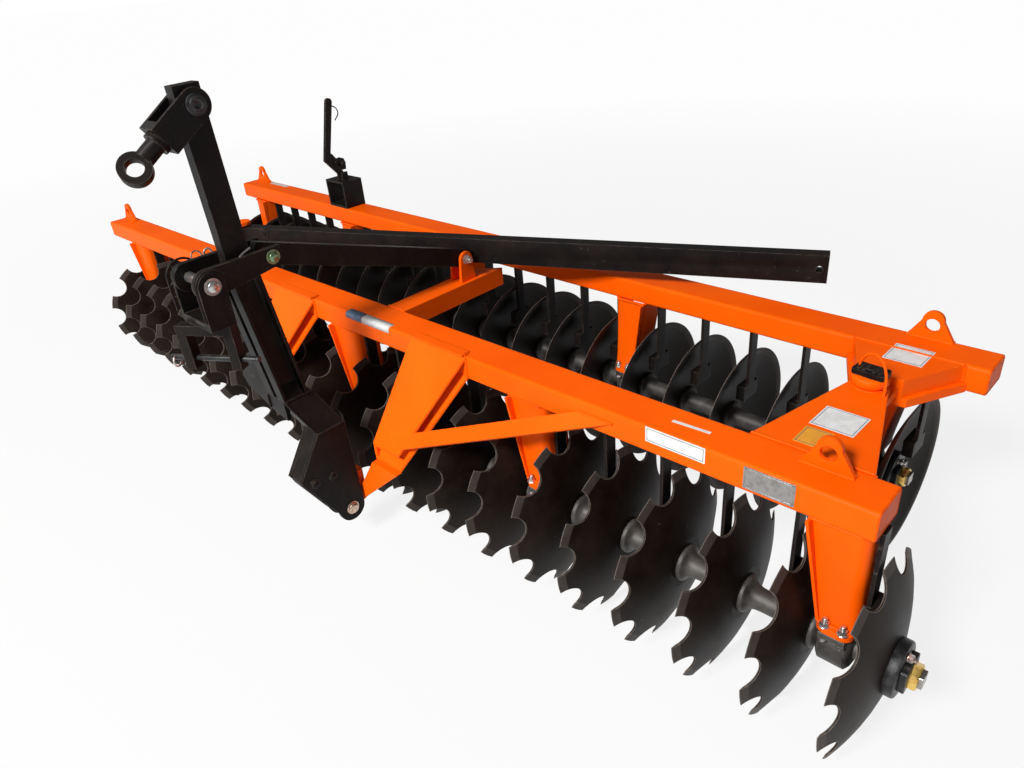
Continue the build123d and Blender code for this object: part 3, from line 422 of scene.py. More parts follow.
def stacked(rings, count):
    """Faces of a closed solid made of rings of count points, one after another."""
    faces = []
    for ring in range(rings - 1):
        low, high = ring * count, (ring + 1) * count
        for i in range(count):
            j = (i + 1) % count
            faces.append((low + i, low + j, high + j, high + i))
    faces.append(tuple(range(count)))
    faces.append(tuple((rings - 1) * count + i for i in range(count)))
    return faces


def lathe(profile, origin, direction, segments=40):
    """Solid of revolution from (along, radius) points."""
    turn = turning(direction)
    verts = []
    for along, radius in profile:
        for i in range(segments):
            angle = 2 * math.pi * (i + 0.5) / segments
            verts.append(tuple(on_circle(origin, turn, radius, angle, along)))
    return verts, stacked(len(profile), segments)


def rod(radius, length, origin, direction=(1, 0, 0), segments=36):
    """Plain round shaft."""
    return lathe([(0, radius), (length, radius)], origin, direction, segments)


def hex_head(origin, direction, flats, height):
    """Hexagon with a turned chamfer at its outer end."""
    corner = flats / math.sqrt(3)
    turn = turning(direction)
    count = 24
    verts = []
    rings = ((0, False), (height * 0.82, False), (height, True))
    for along, chamfered in rings:
        for i in range(count):
            angle = 2 * math.pi * i / count
            sixth = (angle + math.pi / 6) % (math.pi / 3) - math.pi / 6
            radius = flats / 2 * 0.97 if chamfered else min(flats / 2 / math.cos(sixth), corner)
            verts.append(tuple(on_circle(origin, turn, radius, angle, along)))
    return verts, stacked(len(rings), count)


def thread(origin, direction, radius, length, pitch=2.0):
    """Bolt end with ridges for its thread."""
    profile = [(0, radius * 0.9)]
    along = 0.0
    while along + pitch < length:
        profile += [(along + pitch * 0.25, radius * 0.9), (along + pitch * 0.75, radius)]
        along += pitch
    profile += [(length - 0.8, radius * 0.92), (length, radius * 0.78)]
    return lathe(profile, origin, direction, segments=20)


def ring_of(origin, direction, inner, outer, height):
    """Washer with its edges broken."""
    lip = min(0.8, height / 4)
    profile = [(0, inner), (0, outer - lip), (lip, outer)]
    profile += [(height - lip, outer), (height, outer - lip), (height, inner)]
    count = 32
    verts, faces = lathe(profile, origin, direction, segments=count)
    # The two end caps give way to the wall of the hole
    last = (len(profile) - 1) * count
    faces = faces[:-2]
    faces += [(last + i, last + (i + 1) % count, (i + 1) % count, i) for i in range(count)]
    return verts, faces


def nut_and_bolt(origin, direction, flats, stick_out):
    """Washer, nut and the bolt's end, standing on a face."""
    way = Vector(direction).normalized()
    washer = flats * 0.12
    height = flats * 0.55
    start = Vector(origin) + way * washer
    parts = [
        ring_of(origin, way, flats * 0.25, flats * 0.68, washer),
        hex_head(start, way, flats, height),
        thread(start + way * height * 0.98, way, flats * 0.32, stick_out),
    ]
    return merged(parts)


def tube(points, radius, sides=10, closed=False, ripple=0.0):
    """Round bar along points, with ripples across it for a weld bead."""
    path = [Vector(p) for p in points]
    count = len(path)
    verts, faces = [], []
    normal = None
    for i, point in enumerate(path):
        ahead = path[(i + 1) % count] if closed or i + 1 < count else point
        behind = path[i - 1] if closed or i else point
        tangent = (ahead - behind).normalized()
        if normal is None:
            normal = tangent.orthogonal().normalized()
        normal = (normal - tangent * normal.dot(tangent)).normalized()
        side = tangent.cross(normal)
        size = radius * (1 + ripple * (0.5 - (i % 3) / 2.0) + ripple * 0.6 * noise.noise(point * 0.05))
        for k in range(sides):
            angle = 2 * math.pi * k / sides
            verts.append(tuple(point + size * (normal * math.cos(angle) + side * math.sin(angle))))
    for i in range(count if closed else count - 1):
        for k in range(sides):
            a, b = i * sides + k, i * sides + (k + 1) % sides
            c, d = ((i + 1) % count) * sides + (k + 1) % sides, ((i + 1) % count) * sides + k
            faces.append((a, b, c, d))
    if not closed:
        faces.append(tuple(range(sides)))
        faces.append(tuple((count - 1) * sides + k for k in range(sides)))
    return verts, faces


def bead(points, radius=4.0, step=2.2, closed=False):
    """Weld bead laid along straight runs."""
    path = []
    corners = [Vector(p) for p in points]
    if closed:
        corners.append(corners[0])
    for start, end in zip(corners, corners[1:]):
        pieces = max(2, round((end - start).length / step))
        path += [start.lerp(end, i / pieces) for i in range(pieces)]
    if not closed:
        path.append(corners[-1])
    return tube(path, radius, sides=7, closed=closed, ripple=0.22)


def along_x(start, end, y, z, radius):
    """Straight bead along x."""
    return bead([(start, y, z), (end, y, z)], radius)


def along_z(x, y, start, end, radius):
    """Straight bead along z."""
    return bead([(x, y, start), (x, y, end)], radius)


def smooth_path(points, per_span=8):
    """Points on a smooth curve through the given ones."""
    path = [Vector(p) for p in points]
    path = [path[0], *path, path[-1]]
    out = []
    for a, b, c, d in zip(path, path[1:], path[2:], path[3:]):
        bend, twist = 2 * a - 5 * b + 4 * c - d, 3 * b - a - 3 * c + d
        for k in range(per_span):
            t = k / per_span
            out.append(0.5 * (2 * b + (c - a) * t + bend * t * t + twist * t**3))
    out.append(path[-1])
    return out


def circle_path(origin, direction, radius, count):
    """Points evenly round a circle."""
    turn = turning(direction)
    return [on_circle(origin, turn, radius, 2 * math.pi * i / count) for i in range(count)]


# ---------------------------------------------------------------- gangs
# columns: name, first rim plane, axle y, side of the domed face
GANGS = (
    ("front", 0.0, 0.0, 1),
    ("rear", -rear_gang_inset, gang_spacing, -1),
)
foot_top = 80.0
foot_bottom = 62.0
foot_head_drop = 16.0


def bearing_x(first_x, side, k):
    """Middle of the bearing in a gap between discs, nearer the hollow side of one of them."""
    if side > 0:
        return first_x - disc_pitch * k - bearing_offset
    return first_x - disc_pitch * (k + 1) + bearing_offset


def seat_x(first_x, side, k, way):
    """Face of a disc's flat middle that looks toward +x (way 1) or -x (way -1)."""
    plate = 0.0 if way == side else disc_thickness
    return first_x - disc_pitch * k + side * seat_height + way * plate


def spool_profile():
    """A spool's (along, radius) points: half of them, and the same mirrored."""
    half = [(0, 50), (5.5, 50.5), (10, 49), (13, 45), (17, 38), (24, 32.5), (36, 29.2), (52, 28)]
    length = disc_pitch - disc_thickness
    return half + [(length - along, radius) for along, radius in reversed(half)]


washer_profile = [(0, 67), (2, 68), (19, 68), (23, 66), (25, 61), (26, 54), (26, 30), (26, 20)]

for name, first_x, axle_y, side in GANGS:
    base = BASES[name]
    body = f"{name}_gang"
    rows = []
    for k in range(disc_count - 1):
        start = (seat_x(first_x, side, k, -1), axle_y, 0)
        rows.append(lathe(spool_profile(), start, (-1, 0, 0), segments=36))
    spools = joined(f"{name}_cast_spools", rows, body, "cast_iron", "cast_iron", base)
    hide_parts(f"{name}_spools")

    rims, nuts, locks, small = [], [], [], []
    for k, way in ((0, 1), (disc_count - 1, -1)):
        x = seat_x(first_x, side, k, way)
        rims.append(lathe(washer_profile, (x, axle_y, 0), (way, 0, 0), segments=56))
        start = x + way * 25
        locks.append(slab(rounded(84, 62, 9, (axle_y - 4, 6)), "x", start, start + way * 15))
        nuts.append(hex_head((x + way * 40, axle_y, 0), (way, 0, 0), 55, 17))
        nuts.append(thread((x + way * 56, axle_y, 0), (way, 0, 0), 15.5, 10, 2.6))
        small.append(nut_and_bolt((x + way * 26, axle_y - 6, 49), (way, 0, 0), 17, 9))
    washers = joined(f"{name}_cast_washers", rims, body, "cast_dark", "cast_iron", base)
    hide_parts(f"{name}_end_washers")
    joined(f"{name}_nut_locks", locks, body, "cast_dark", "cast_iron", base, bevel=2.0)
    joined(f"{name}_axle_nuts", nuts, body, "gold_zinc", "machine_steel", base, smooth=30)
    joined(f"{name}_lock_bolts", small, body, "white_zinc", "machine_steel", base, smooth=30)


# ---------------------------------------------------------------- shanks
# A shank's widths outward and inward of the bearing's middle, at its foot and its top
shank_outer = (42.0, 89.0)
shank_inner = (41.0, 38.0)
shank_front, shank_rear = 52.0, 46.0
outer_roll, inner_roll = 10.0, 24.0
lip_thickness = 8.0


def up_shank(level, levels):
    """How far up the shank a level is, its height, and its widths outward and inward."""
    t = level / (levels - 1)
    z = foot_top + (beam_bottom - foot_top) * t
    outer, inner = (foot + (top - foot) * t for foot, top in (shank_outer, shank_inner))
    return t, z, outer, inner


def shank_shell(x, axle_y, side):
    """Folded leg: a front plate rolled back at both sides, flared at its foot."""
    levels = 9
    verts, faces = [], []
    for level in range(levels):
        t, z, outer, inner = up_shank(level, levels)
        flare = 7.0 * (1 - t) ** 4
        outer = -outer - flare * 0.4
        inner += flare
        row = [(outer, shank_rear), (outer, outer_roll - shank_front)]
        for first, steps, roll, centre in (
            (180, 4, outer_roll, outer + outer_roll),
            (270, 6, inner_roll, inner - inner_roll),
        ):
            for step in range(steps + 1):
                angle = math.radians(first + 90 * step / steps)
                row.append((centre + roll * math.cos(angle), roll - shank_front + roll * math.sin(angle)))
        row.append((inner, shank_rear))
        count = len(row)
        verts += [(x + side * px, axle_y + py, z) for px, py in row]
        if level:
            for i in range(count - 1):
                a = (level - 1) * count + i
                faces.append((a, a + 1, a + 1 + count, a + count))
    return verts, faces


def shank_lip(x, axle_y, side):
    """Flange forward along the outer edge, deeper at the top."""
    verts, faces = [], []
    levels = 8
    for level in range(levels):
        t, z, outer, _ = up_shank(level, levels)
        root, tip = axle_y - shank_front + 2, axle_y - shank_front - 6 - 16 * t
        edge, back = x - side * outer, x - side * (outer - lip_thickness)
        verts += [(edge, root, z), (edge, tip, z), (back, tip, z), (back, root, z)]
        if level:
            for i in range(4):
                a, b = (level - 1) * 4 + i, (level - 1) * 4 + (i + 1) % 4
                faces.append((a, b, b + 4, a + 4))
    faces += [(0, 1, 2, 3), tuple(4 * (levels - 1) + i for i in range(4))]
    return verts, faces


cover_profile = [(0, 57), (3, 56), (7, 50), (9, 44), (9, 30), (7, 29)]

for name, first_x, axle_y, side in GANGS:
    base = BASES[name]
    body = f"{name}_frame"
    shells, lips, feet, bolts, beads, heads, covers = [], [], [], [], [], [], []
    for k in bearing_gaps:
        x = bearing_x(first_x, side, k)
        shells.append(shank_shell(x, axle_y, side))
        lips.append(shank_lip(x, axle_y, side))
        feet.append(slab(rounded(83, 152, 24, (x, axle_y + 8)), "z", foot_bottom, foot_top))
        for dx, dy in ((20, -60), (-20, -60), (20, 74), (-20, 74)):
            px, py = x + side * dx, axle_y + dy
            bolts.append(nut_and_bolt((px, py, foot_top), (0, 0, 1), 19, 10))
            heads.append(hex_head((px, py, foot_bottom - foot_head_drop), (0, 0, -1), 19, 9))
        for run, z in (
            (((-38, -56), (30, -55), (44, -38), (46, 40)), foot_top + 1),
            (((-88, -54), (22, -54), (39, -34), (39, 44)), beam_bottom - 1),
        ):
            beads.append(bead([(x + side * dx, axle_y + dy, z) for dx, dy in run], 4.0))
        for way in (-1, 1):
            covers.append(lathe(cover_profile, (x + way * 29, axle_y, 0), (way, 0, 0), segments=40))
    shank = joined(f"{name}_folded_shanks", shells, body, base=base, thickness=9.0, bevel=1.2)
    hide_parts(f"{name}_shanks")
    joined(f"{name}_shank_lips", lips, body, base=base, bevel=1.8)
    joined(f"{name}_shank_feet", feet, body, base=base, bevel=2.0)
    joined(f"{name}_foot_bolts", bolts, body, "white_zinc", "machine_steel", base, smooth=30)
    joined(f"{name}_foot_heads", heads, body, "white_zinc", "machine_steel", base, smooth=30)
    joined(f"{name}_shank_welds", beads, body, base=base, smooth=60)
    joined(f"{name}_bearing_covers", covers, body, "cast_iron", "cast_iron", base)


# ---------------------------------------------------------------- beams and lifting eyes
eye_weld_half, eye_weld_side = 60.0, 8.5

for name, beam_y, eye_y in (("front", 0.0, 26.0), ("rear", rear_beam_y, rear_beam_y + 46.0)):
    base = BASES[name]
    caps, beads = [], []
    for x, way, eye_inset in (
        (-beam_near_inset, 1, eye_insets[name][0]),
        (-beam_near_inset - beam_lengths[name], -1, eye_insets[name][1]),
    ):
        middle = (beam_y, (beam_bottom + beam_top) / 2)
        caps.append(slab(rounded(108, 63, 6, middle), "x", x - way * 3, x + way * 2.0))
        loop = [(x + way * 0.5, p, q) for p, q in rounded(112, 67, 8, middle, 3)]
        beads.append(bead(loop, 2.2, 2.0, closed=True))
        eye_x = x - way * eye_inset
        for dy in (-eye_weld_side, eye_weld_side):
            low, high = eye_x - eye_weld_half, eye_x + eye_weld_half
            beads.append(along_x(low, high, eye_y + dy, beam_top + 1, 3.2))
    joined(f"{name}_end_caps", caps, f"{name}_frame", base=base, bevel=1.5)
    joined(f"{name}_beam_welds", beads, f"{name}_frame", base=base, smooth=60)

# ---------------------------------------------------------------- hitch struts on the front beam
strut_low, strut_high, strut_spacing = hitch_x + 219, hitch_x + 466, 795.0
weld_face = beam_half + 1
saddles, beads = [], []
for shift in (strut_spacing, 0.0):
    low, high = strut_low - shift, strut_high - shift
    outline = [(low + 6, -66), (high - 6, -66), (high - 14, -32), (low + 14, -32)]
    saddles.append(slab(outline, "z", beam_top - 1, beam_top + 6))
    seam = [(low + 14, -31), (high - 14, -31), (high - 5, -58)]
    beads.append(bead([(x, y, beam_top + 1) for x, y in seam], 3.0))
    for x in (low - 1, high + 1):
        beads.append(along_z(x, -weld_face, beam_top - 4, beam_bottom + 4, 3.4))
    beads.append(along_x(low, high, -weld_face, beam_bottom, 3.4))
joined("strut_saddles", saddles, "front_frame", bevel=2.5)
# The brace's root, and the cross tube on the beam's rear face
beads.append(along_x(-770, -657, -62, 393, 3.2))
cross_low, cross_high = hitch_x - 45, hitch_x + 45
beads.append(along_x(cross_low, cross_high, weld_face, beam_top - 2, 3.4))
for x in (cross_low, cross_high):
    beads.append(along_z(x, weld_face, beam_top - 6, 360, 3.4))
joined("hitch_welds", beads, "front_frame", smooth=60)

# The cross tube's mitred end, and the bolt through the stay's lugs
cross_bottom = beam_top - 68
outline = [(hitch_x - 36, 476), (hitch_x + 36, 535), (hitch_x + 36, 529), (hitch_x - 36, 470)]
cross_cap = slab(outline, "z", cross_bottom + 6, beam_top - 6)
joined("cross_tube_cap", [cross_cap], "front_frame", bevel=1.5)
stay_bolt = (374.0, 506.0)
joined(
    "stay_bolt",
    [
        nut_and_bolt((hitch_x + 30, *stay_bolt), (1, 0, 0), 26, 9),
        hex_head((hitch_x - 30, *stay_bolt), (-1, 0, 0), 26, 12),
    ],
    "front_frame",
    "white_zinc",
    "machine_steel",
    smooth=30,
)

# ---------------------------------------------------------------- hinge
beads = [
    along_x(hinge_x - 128, hinge_x + 150, weld_face, beam_top + 0.5, 3.6),
    along_z(hinge_x + 151, weld_face, beam_top - 2, beam_bottom + 4, 3.6),
    along_z(hinge_x - 129, weld_face, beam_top - 2, beam_bottom + 4, 3.6),
]
joined("hinge_arm_welds", beads, "front_frame", smooth=60)
rear_weld_face = rear_beam_y - weld_face
beads = [
    along_x(hinge_x - 135, hinge_x + 144, rear_weld_face, beam_top + 0.5, 3.6),
    along_z(hinge_x - 137, rear_weld_face, beam_top - 2, beam_bottom + 28, 3.6),
    along_z(hinge_x + 147, rear_weld_face, beam_top - 2, beam_bottom + 28, 3.6),
]
joined("rear_arm_welds", beads, "rear_frame", base=REAR, smooth=60)

# Boss over the pin, with a collar of weld round its foot
boss = lathe(
    [(0, 34), (1, 36), (5, 37), (8, 41), (14, 45), (27, 45), (31, 43), (33, 39)],
    (hinge_x, hinge_y, beam_top),
    (0, 0, 1),
    segments=48,
)
shaft = rod(21.9, beam_top - beam_bottom + 1, (hinge_x, hinge_y, beam_bottom), (0, 0, 1), segments=40)
boss_piece = joined("hinge_boss", [boss, shaft], "front_frame", slot="machine_steel")
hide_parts("hinge_pin")
joined(
    "hinge_collar",
    [bead(circle_path((hinge_x, hinge_y, beam_top + 1), (0, 0, 1), 37, 90), 3.0, 2.5, closed=True)],
    "front_frame",
    smooth=60,
)
cap_z = beam_top + 33
cap_turn = math.radians(-6)


def on_cap(x, y, z):
    """A point on the cap, which sits a few degrees askew."""
    return (
        hinge_x + x * math.cos(cap_turn) - y * math.sin(cap_turn),
        hinge_y + x * math.sin(cap_turn) + y * math.cos(cap_turn),
        cap_z + z,
    )


plate = slab(rounded(82, 50, 8), "z", 0, 14)
ribs = [slab(rounded(6, 34, 2.5, (dx, 0)), "z", 13, 17) for dx in (-27, -13, 13, 27)]
socket = lathe([(0, 9), (2, 9), (2.5, 6), (2.4, 0.5)], (0, 0, 14), (0, 0, 1), segments=20)
verts, faces = merged([plate, socket] + ribs)
verts = [on_cap(*v) for v in verts]
cap = piece("hinge_lock", verts, faces, "front_frame", "black_paint", "black_paint", bevel=1.4)
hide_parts("hinge_cap")
loop = smooth_path(
    [
        on_cap(-34, 6, 2),
        on_cap(-30, 4, 26),
        on_cap(-14, 0, 50),
        on_cap(8, -4, 57),
        on_cap(30, -10, 44),
        on_cap(45, -18, 14),
        on_cap(50, -26, -26),
        on_cap(50, -36, -80),
        on_cap(49, -42, -130),
        on_cap(46, -46, -158),
    ]
)
joined("hinge_loop", [tube(loop, 3.6, 12)], "front_frame")

# ---------------------------------------------------------------- blank plates and labels
film_bevel = 0.15


def sheet(corners, rise):
    """Thin plate with four corners, its other face a rise away."""
    verts = [tuple(c) for c in corners] + [tuple(Vector(c) + rise) for c in corners]
    faces = [(0, 1, 2, 3), (4, 5, 6, 7)]
    faces += [(i, (i + 1) % 4, 4 + (i + 1) % 4, 4 + i) for i in range(4)]
    return verts, faces


def bordered(name, low, high, axis, level, finish, border, base=FRONT, body="front_frame", turn=0.0):
    """Blank label with a printed border line, flat on a face that looks along y or z."""
    (x0, a0), (x1, a1) = low, high
    centre = Vector(((x0 + x1) / 2, (a0 + a1) / 2))
    spin = Matrix.Rotation(turn, 2)

    def corner(x, a, lift):
        p = centre + spin @ (Vector((x, a)) - centre)
        return (p.x, level - lift, p.y) if axis == "y" else (p.x, p.y, level + lift)

    normal = Vector((0, -1, 0) if axis == "y" else (0, 0, 1))

    def patch(p0, q0, p1, q1, lift, thickness):
        corners = [corner(p, q, lift) for p, q in ((p0, q0), (p1, q0), (p1, q1), (p0, q1))]
        return sheet(corners, normal * thickness)

    film, ink = 0.6, 0.25
    piece(name, *patch(x0, a0, x1, a1, 0, film), body, finish, "orange_paint", base, bevel=film_bevel)
    inset, line = 4.0, 1.6
    left, right, bottom, top = x0 + inset, x1 - inset, a0 + inset, a1 - inset
    rails = [
        (left, bottom, right, bottom + line),
        (left, top - line, right, top),
        (left, bottom, left + line, top),
        (right - line, bottom, right, top),
    ]
    joined(f"{name}_border", [patch(*rail, film, ink) for rail in rails], body, border, base=base)


front_face = -60.0
bordered("side_decal", (-559, 383), (-397, 425), "y", front_face, "white_film", "grey_film")
label_turn = math.radians(-1.5)
bordered("arm_label", (-262, 170), (-158, 266), "z", beam_top, "white_film", "blue_film", turn=label_turn)
bordered("arm_label_small", (-262, 84), (-196, 158), "z", beam_top, "yellow_film", "grey_film")
for label, low, high, border in (
    ("rear_arm_label", (-254, 578), (-154, 680), "blue_film"),
    ("far_label", (-3770, 735), (-3590, 760), "grey_film"),
):
    bordered(label, low, high, "z", beam_top, "white_film", border, REAR, "rear_frame")
outline = [(x, y, beam_top) for x, y in ((-520, -8), (-420, -3), (-420, 7), (-520, 2))]
strip = sheet(outline, Vector((0, 0, 0.5)))
piece("top_strip", *strip, "front_frame", "white_film", "orange_paint", bevel=film_bevel)

# The middle label folds over the beam's top front edge, a film's gap off the steel
fold = 10.4
wrap = [(-31, beam_top + 0.4), (-50.4, beam_top + 0.4)]
for degrees in (15, 30, 45, 60, 75):
    angle = math.radians(degrees)
    wrap.append((-50 - fold * math.sin(angle), beam_top - 10 + fold * math.cos(angle)))
wrap += [(-60.4, beam_top - 10), (-60.4, 404)]
for label, x0, x1, finish in (
    ("middle_label_blue", -1788, -1700, "blue_film"),
    ("middle_label", -1698, -1552, "white_film"),
):
    verts = [(x, y, z) for y, z in wrap for x in (x0, x1)]
    faces = [(2 * i, 2 * i + 1, 2 * i + 3, 2 * i + 2) for i in range(len(wrap) - 1)]
    piece(label, verts, faces, "front_frame", finish, "orange_paint", thickness=0.3)

# Blank rating plate, riveted on
plate = slab(rounded(119, 58, 3, (-242.5, 390.5)), "y", front_face - 1.2, front_face)
piece("rating_plate", *plate, "front_frame", "plate_metal", "machine_steel", bevel=0.4)
rim = []
corners = [(-298, 366), (-187, 366), (-187, 415), (-298, 415)]
for (x0, z0), (x1, z1) in zip(corners, corners[1:] + corners[:1]):
    rim.append(tube([(x0, front_face - 1.3, z0), (x1, front_face - 1.3, z1)], 0.8, 6))
rivet = [(0, 3.2), (1.0, 2.8), (1.7, 1.4), (1.8, 0.2)]
for x in (-296, -189):
    for z in (367, 414):
        rim.append(lathe(rivet, (x, front_face - 1.0, z), (0, -1, 0), segments=14))
piece("rating_plate_rivets", *merged(rim), "front_frame", "plate_metal", "machine_steel")


# ---------------------------------------------------------------- drawbar
def dome(origin, direction, radius, height, shoulder=2.0):
    """Round pin head with a low dome."""
    profile = [(0, radius), (shoulder, radius)]
    for step in range(1, 7):
        angle = math.radians(90 * step / 6)
        profile.append((shoulder + height * math.sin(angle), max(radius * math.cos(angle), 0.3)))
    return lathe(profile, origin, direction, segments=32)


front_pin = (-566.0, 740.0)
stay_pin = (-369.0, 757.0)
pivot = (-342.0, -115.0)
clevis_pin = (-456.0, 1175.0)
clevis_out = 37.0
channel_out = 50.0
link_out = 65.0
hanger_out = 83.0


def both_sides(make, distance, place, *more, **settings):
    """The same shape at both sides of the hitch's middle, facing outward."""
    made = []
    for way in (-1, 1):
        made.append(make((hitch_x + way * distance, *place), (way, 0, 0), *more, **settings))
    return made


def through(radius, half_length, place):
    """Shaft across the hitch's middle."""
    return rod(radius, 2 * half_length, (hitch_x - half_length, *place))


washers = both_sides(ring_of, hanger_out + 0.4, front_pin, 15, 24, 3.0)
joined("front_pin_washers", washers, "drawbar", "machine_steel", "machine_steel")
heads = both_sides(dome, hanger_out + 3.4, front_pin, 16.5, 6.5, shoulder=4.5)
heads.append(through(14.9, hanger_out + 2, front_pin))
front_heads = joined("front_pin_heads", heads, "drawbar", "pin_silver", "machine_steel")
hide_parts("front_pin")
heads = both_sides(ring_of, link_out, stay_pin, 14, 21, 2.5)
heads += both_sides(dome, link_out + 2.5, stay_pin, 15.0, 6.0, shoulder=3.5)
for way in (-1, 1):
    heads.append(rod(14.9, link_out - channel_out + 1, (hitch_x + way * channel_out, *stay_pin), (way, 0, 0)))
stay_heads = joined("stay_pin_heads", heads, "drawbar", "pin_green", "machine_steel")
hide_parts("stay_pins")


def stepped_head(origin, direction):
    """The clevis pin's head: a flange, a step and a hollow in the middle."""
    profile = [(0, 27), (3, 27), (4.2, 25.5), (4.2, 19.5), (9, 19), (10.5, 17), (11, 12), (8.5, 9), (8, 0.4)]
    return lathe(profile, origin, direction, segments=44)


heads = both_sides(stepped_head, clevis_out + 0.4, clevis_pin)
heads.append(through(13.9, clevis_out + 1, clevis_pin))
clevis_heads = joined("clevis_pin_heads", heads, "drawbar", "cast_dark", "machine_steel")
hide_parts("clevis_pin")

# The hangers' wire keepers, over the front pin and down the front edge
keeper_radius = 46.0
pin_y, pin_z = front_pin
route = []
for degrees in range(35, 186, 12):
    angle = math.radians(degrees)
    route.append((pin_y + keeper_radius * math.cos(angle), pin_z + keeper_radius * math.sin(angle)))
route += [(pin_y - keeper_radius, pin_z - 40), (pin_y - keeper_radius + 2, pin_z - 92)]
keepers = []
for way in (-1, 1):
    x = hitch_x + way * (hanger_out + 3.0)
    keepers.append(tube([(x, y, z) for y, z in route], 3.4, 10))
joined("hanger_keepers", keepers, "hanging_fork", "black_paint", "black_paint")

# Spring ring on the far link plate, and a bent wire at each side
rings = [tube(circle_path((hitch_x - 78, -520, 776), (0.9, 0.35, 0.2), 19, 36), 2.2, 8, closed=True)]
for radius, wire in (
    (3.0, ((-66, -492, 764), (-70, -500, 786), (-66, -486, 795), (-60, -478, 776))),
    (3.2, ((45, -420, 795), (52, -452, 786), (62, -470, 776))),
):
    rings.append(tube(smooth_path([(hitch_x + x, y, z) for x, y, z in wire]), radius, 8))
joined("drawbar_rings", rings, "drawbar", "white_zinc", "machine_steel")

# Bolts through the yoke's plates, on the faces of the fork
fork_inner, fork_outer = hitch_x + 52.0, hitch_x + 130.0
bolts, heads = [], []
for x, way in ((fork_outer, 1), (fork_inner, -1)):
    for (y, z), radius in (((-452.0, 45.0), 19.0), ((-386.0, 40.0), 15.0)):
        bolts.append(ring_of((x - way, y, z), (way, 0, 0), radius * 0.5, radius, 4.0))
        bolts.append(dome((x + way * 2.5, y, z), (way, 0, 0), radius * 0.66, 3.0, shoulder=3.0))
    heads.append(ring_of((x, *pivot), (way, 0, 0), 17, 23, 3.0))
    heads.append(dome((x + way * 3, *pivot), (way, 0, 0), 18.0, 5.0, shoulder=5.0))
joined("yoke_bolts", bolts, "drawbar", "black_paint", "black_paint")
heads.append(rod(17.6, fork_outer - fork_inner + 4, (fork_inner - 2, *pivot), segments=40))
pivot_heads = joined("pivot_heads", heads, "drawbar", "pin_copper", "machine_steel")
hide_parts("pivot_pin")
beads = [
    bead([(hitch_x + 128, -404, 209), (hitch_x + 54, -441, 309)], 3.0),
    bead([(hitch_x + 131, -398, 206), (hitch_x + 131, -304, 206)], 2.6),
    bead([(hitch_x + 54, -436, 312), (hitch_x + 54, -362, 312)], 3.0),
    bead([(hitch_x + 12, -429, 353), (hitch_x + 12, -378, 353)], 3.0),
    bead([(hitch_x - 51, -442, 262), (hitch_x - 51, -442, 308)], 3.0),
]
joined("yoke_welds", beads, "drawbar", "black_paint", "black_paint", smooth=60)

# Plate wrapped round the front of the fork, between its cheeks
outline = [(-399, 206), (-484, 83), (-490, 72), (-491, 62), (-486, 48), (-408, -92)]
outline += [(-399, -86), (-476, 48), (-481, 62), (-480, 70), (-475, 77), (-390, 201)]
front_plate = slab(outline, "x", fork_inner + 14, fork_outer - 14)
joined("yoke_wrap", [front_plate], "drawbar", "black_paint", "black_paint", smooth=50, bevel=2.0)

# Ring through the fork pin's far end
joined(
    "fork_pin_ring",
    [tube(circle_path((hitch_x - 108, -648, 500), (0.86, 0.52, 0), 17, 30), 3.0, 8, closed=True)],
    "hanging_fork",
    "white_zinc",
    "machine_steel",
)

# Bolt head on the long bar's near face, close to its pivot end
bar_pivot = Vector((-2640, 60, 0))
bar_half_width = 25.0
bar_turn = math.radians(21.8)
bar_along = Vector((math.cos(bar_turn), math.sin(bar_turn), 0))
bar_out = Vector((math.sin(bar_turn), -math.cos(bar_turn), 0))
bolt_at = bar_pivot + bar_along * 125 + bar_out * bar_half_width + Vector((0, 0, 545))
joined(
    "bar_end_bolt",
    [ring_of(bolt_at, bar_out, 12, 23, 3.0), dome(bolt_at + bar_out * 2, bar_out, 15, 5)],
    "long_bar",
    "black_paint",
    "black_paint",
)

# ---------------------------------------------------------------- latch lever
lever_x = -2940.0
outline = [(632, 655), (640, 640), (690, 597), (737, 597), (741, 630)]
outline += [(733, 650), (714, 658), (694, 655), (676, 680), (652, 700)]
parts = [
    slab(outline, "x", lever_x - 6, lever_x + 6),
    lathe([(0, 16), (1, 17), (15, 17), (16, 16)], (lever_x - 8, 710, 917), (1, 0, 0), segments=32),
    nut_and_bolt((lever_x + 6, 716, 628), (1, 0, 0), 22, 6),
    lathe([(0, 9), (10, 9), (11, 8)], (lever_x + 5, 686, 640), (1, 0, 0), segments=20),
]
joined("lever_plate", parts, "latch_lever", "black_paint", "black_paint", base=REAR, bevel=1.2)
wire = ((0, 712, 902), (4, 741, 886), (4, 750, 858), (0, 729, 830))
loop = smooth_path([(lever_x + x, y, z) for x, y, z in wire])
joined("lever_ring", [tube(loop, 2.8, 8)], "latch_lever", "black_paint", "black_paint", base=REAR)

# ---------------------------------------------------------------- camera
yaw, pitch, roll = math.radians(46.0), math.radians(29.2), math.radians(-5.43)
right = Vector((math.cos(yaw), math.sin(yaw), 0))
forward = Vector((-math.sin(yaw) * math.cos(pitch), math.cos(yaw) * math.cos(pitch), -math.sin(pitch)))
up = right.cross(forward)
camera_x = math.cos(roll) * right + math.sin(roll) * up
camera_y = -math.sin(roll) * right + math.cos(roll) * up
camera_data = bpy.data.cameras.new("camera")
camera_data.lens = 26.27
camera_data.clip_start = 0.05
camera_place = Vector((304, -1322, 1411))
camera = bpy.data.objects.new("camera", camera_data)
camera.matrix_world = Matrix.Translation(FRONT @ camera_place) @ Matrix(
    (camera_x, camera_y, -forward)
).transposed().to_4x4()
bpy.context.scene.collection.objects.link(camera)
bpy.context.scene.camera = camera


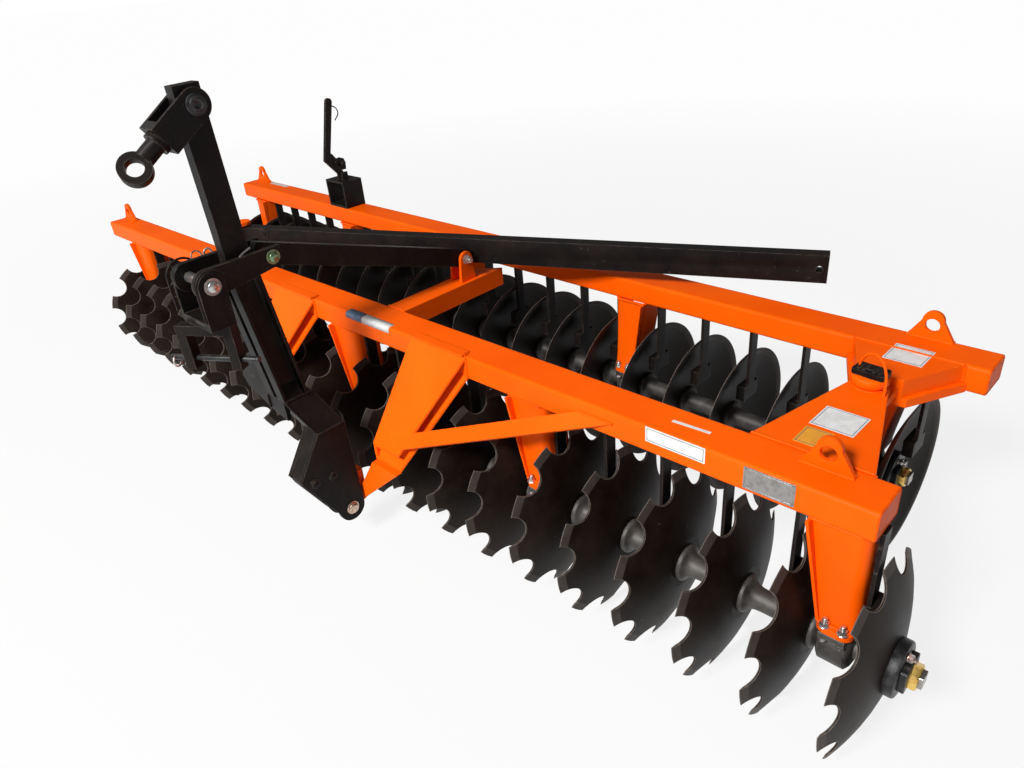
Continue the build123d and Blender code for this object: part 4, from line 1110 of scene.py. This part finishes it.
# ---------------------------------------------------------------- floor and light
def area_light(name, place, target, size, power):
    data = bpy.data.lights.new(name, "AREA")
    data.size = size
    data.energy = power
    lamp = bpy.data.objects.new(name, data)
    lamp.location = place
    lamp.rotation_euler = (Vector(target) - Vector(place)).to_track_quat("-Z", "Y").to_euler()
    bpy.context.scene.collection.objects.link(lamp)


area_light("key", (1.3, -7.4, 7.0), (0.0, 0.0, 0.4), 2.0, 1240)
area_light("fill", (-6.5, -3.0, 4.0), (0.0, 0.0, 0.5), 4.0, 85)

world = bpy.data.worlds.new("world")
world.use_nodes = True
tree = world.node_tree
background = tree.nodes["Background"]
background.inputs["Color"].default_value = (1, 1, 1, 1)
background.inputs["Strength"].default_value = 0.15
plain = tree.nodes.new("ShaderNodeBackground")
plain.inputs["Color"].default_value = (1, 1, 1, 1)
light_path = tree.nodes.new("ShaderNodeLightPath")
mixer = tree.nodes.new("ShaderNodeMixShader")
tree.links.new(light_path.outputs["Is Camera Ray"], mixer.inputs["Fac"])
tree.links.new(background.outputs[0], mixer.inputs[1])
tree.links.new(plain.outputs[0], mixer.inputs[2])
tree.links.new(mixer.outputs[0], tree.nodes["World Output"].inputs["Surface"])
bpy.context.scene.world = world

floor_mesh = bpy.data.meshes.new("floor")
floor_half = 400.0
floor_corners = [(floor_half * x, floor_half * y, 0) for x, y in ((-1, -1), (1, -1), (1, 1), (-1, 1))]
floor_mesh.from_pydata(floor_corners, [], [(0, 1, 2, 3)])
floor = bpy.data.objects.new("floor", floor_mesh)
bpy.context.scene.collection.objects.link(floor)
floor_nodes = Nodes("floor")
tree = floor_nodes.tree
floor_nodes.finish((0.72, 0.72, 0.72), 0.9)
glow = tree.nodes.new("ShaderNodeEmission")
glow.inputs["Color"].default_value = (1, 1, 1, 1)
path = tree.nodes.new("ShaderNodeLightPath")
either = tree.nodes.new("ShaderNodeMath")
either.operation = "MAXIMUM"
tree.links.new(path.outputs["Is Camera Ray"], either.inputs[0])
tree.links.new(path.outputs["Is Glossy Ray"], either.inputs[1])
share = tree.nodes.new("ShaderNodeMath")
share.operation = "MULTIPLY"
tree.links.new(either.outputs[0], share.inputs[0])
distance = tree.nodes.new("ShaderNodeVectorMath")
distance.operation = "LENGTH"
tree.links.new(floor_nodes.coords, distance.inputs[0])
fade = floor_nodes.ramp(distance.outputs["Value"], 2.6, 8.0, 0.84, 0.985)
tree.links.new(fade, share.inputs[1])
blend = tree.nodes.new("ShaderNodeMixShader")
tree.links.new(share.outputs[0], blend.inputs["Fac"])
tree.links.new(floor_nodes.shader.outputs[0], blend.inputs[1])
tree.links.new(glow.outputs[0], blend.inputs[2])
tree.links.new(blend.outputs[0], tree.nodes["Material Output"].inputs["Surface"])
floor_mesh.materials.append(floor_nodes.material)

bpy.context.scene.view_settings.view_transform = "Standard"
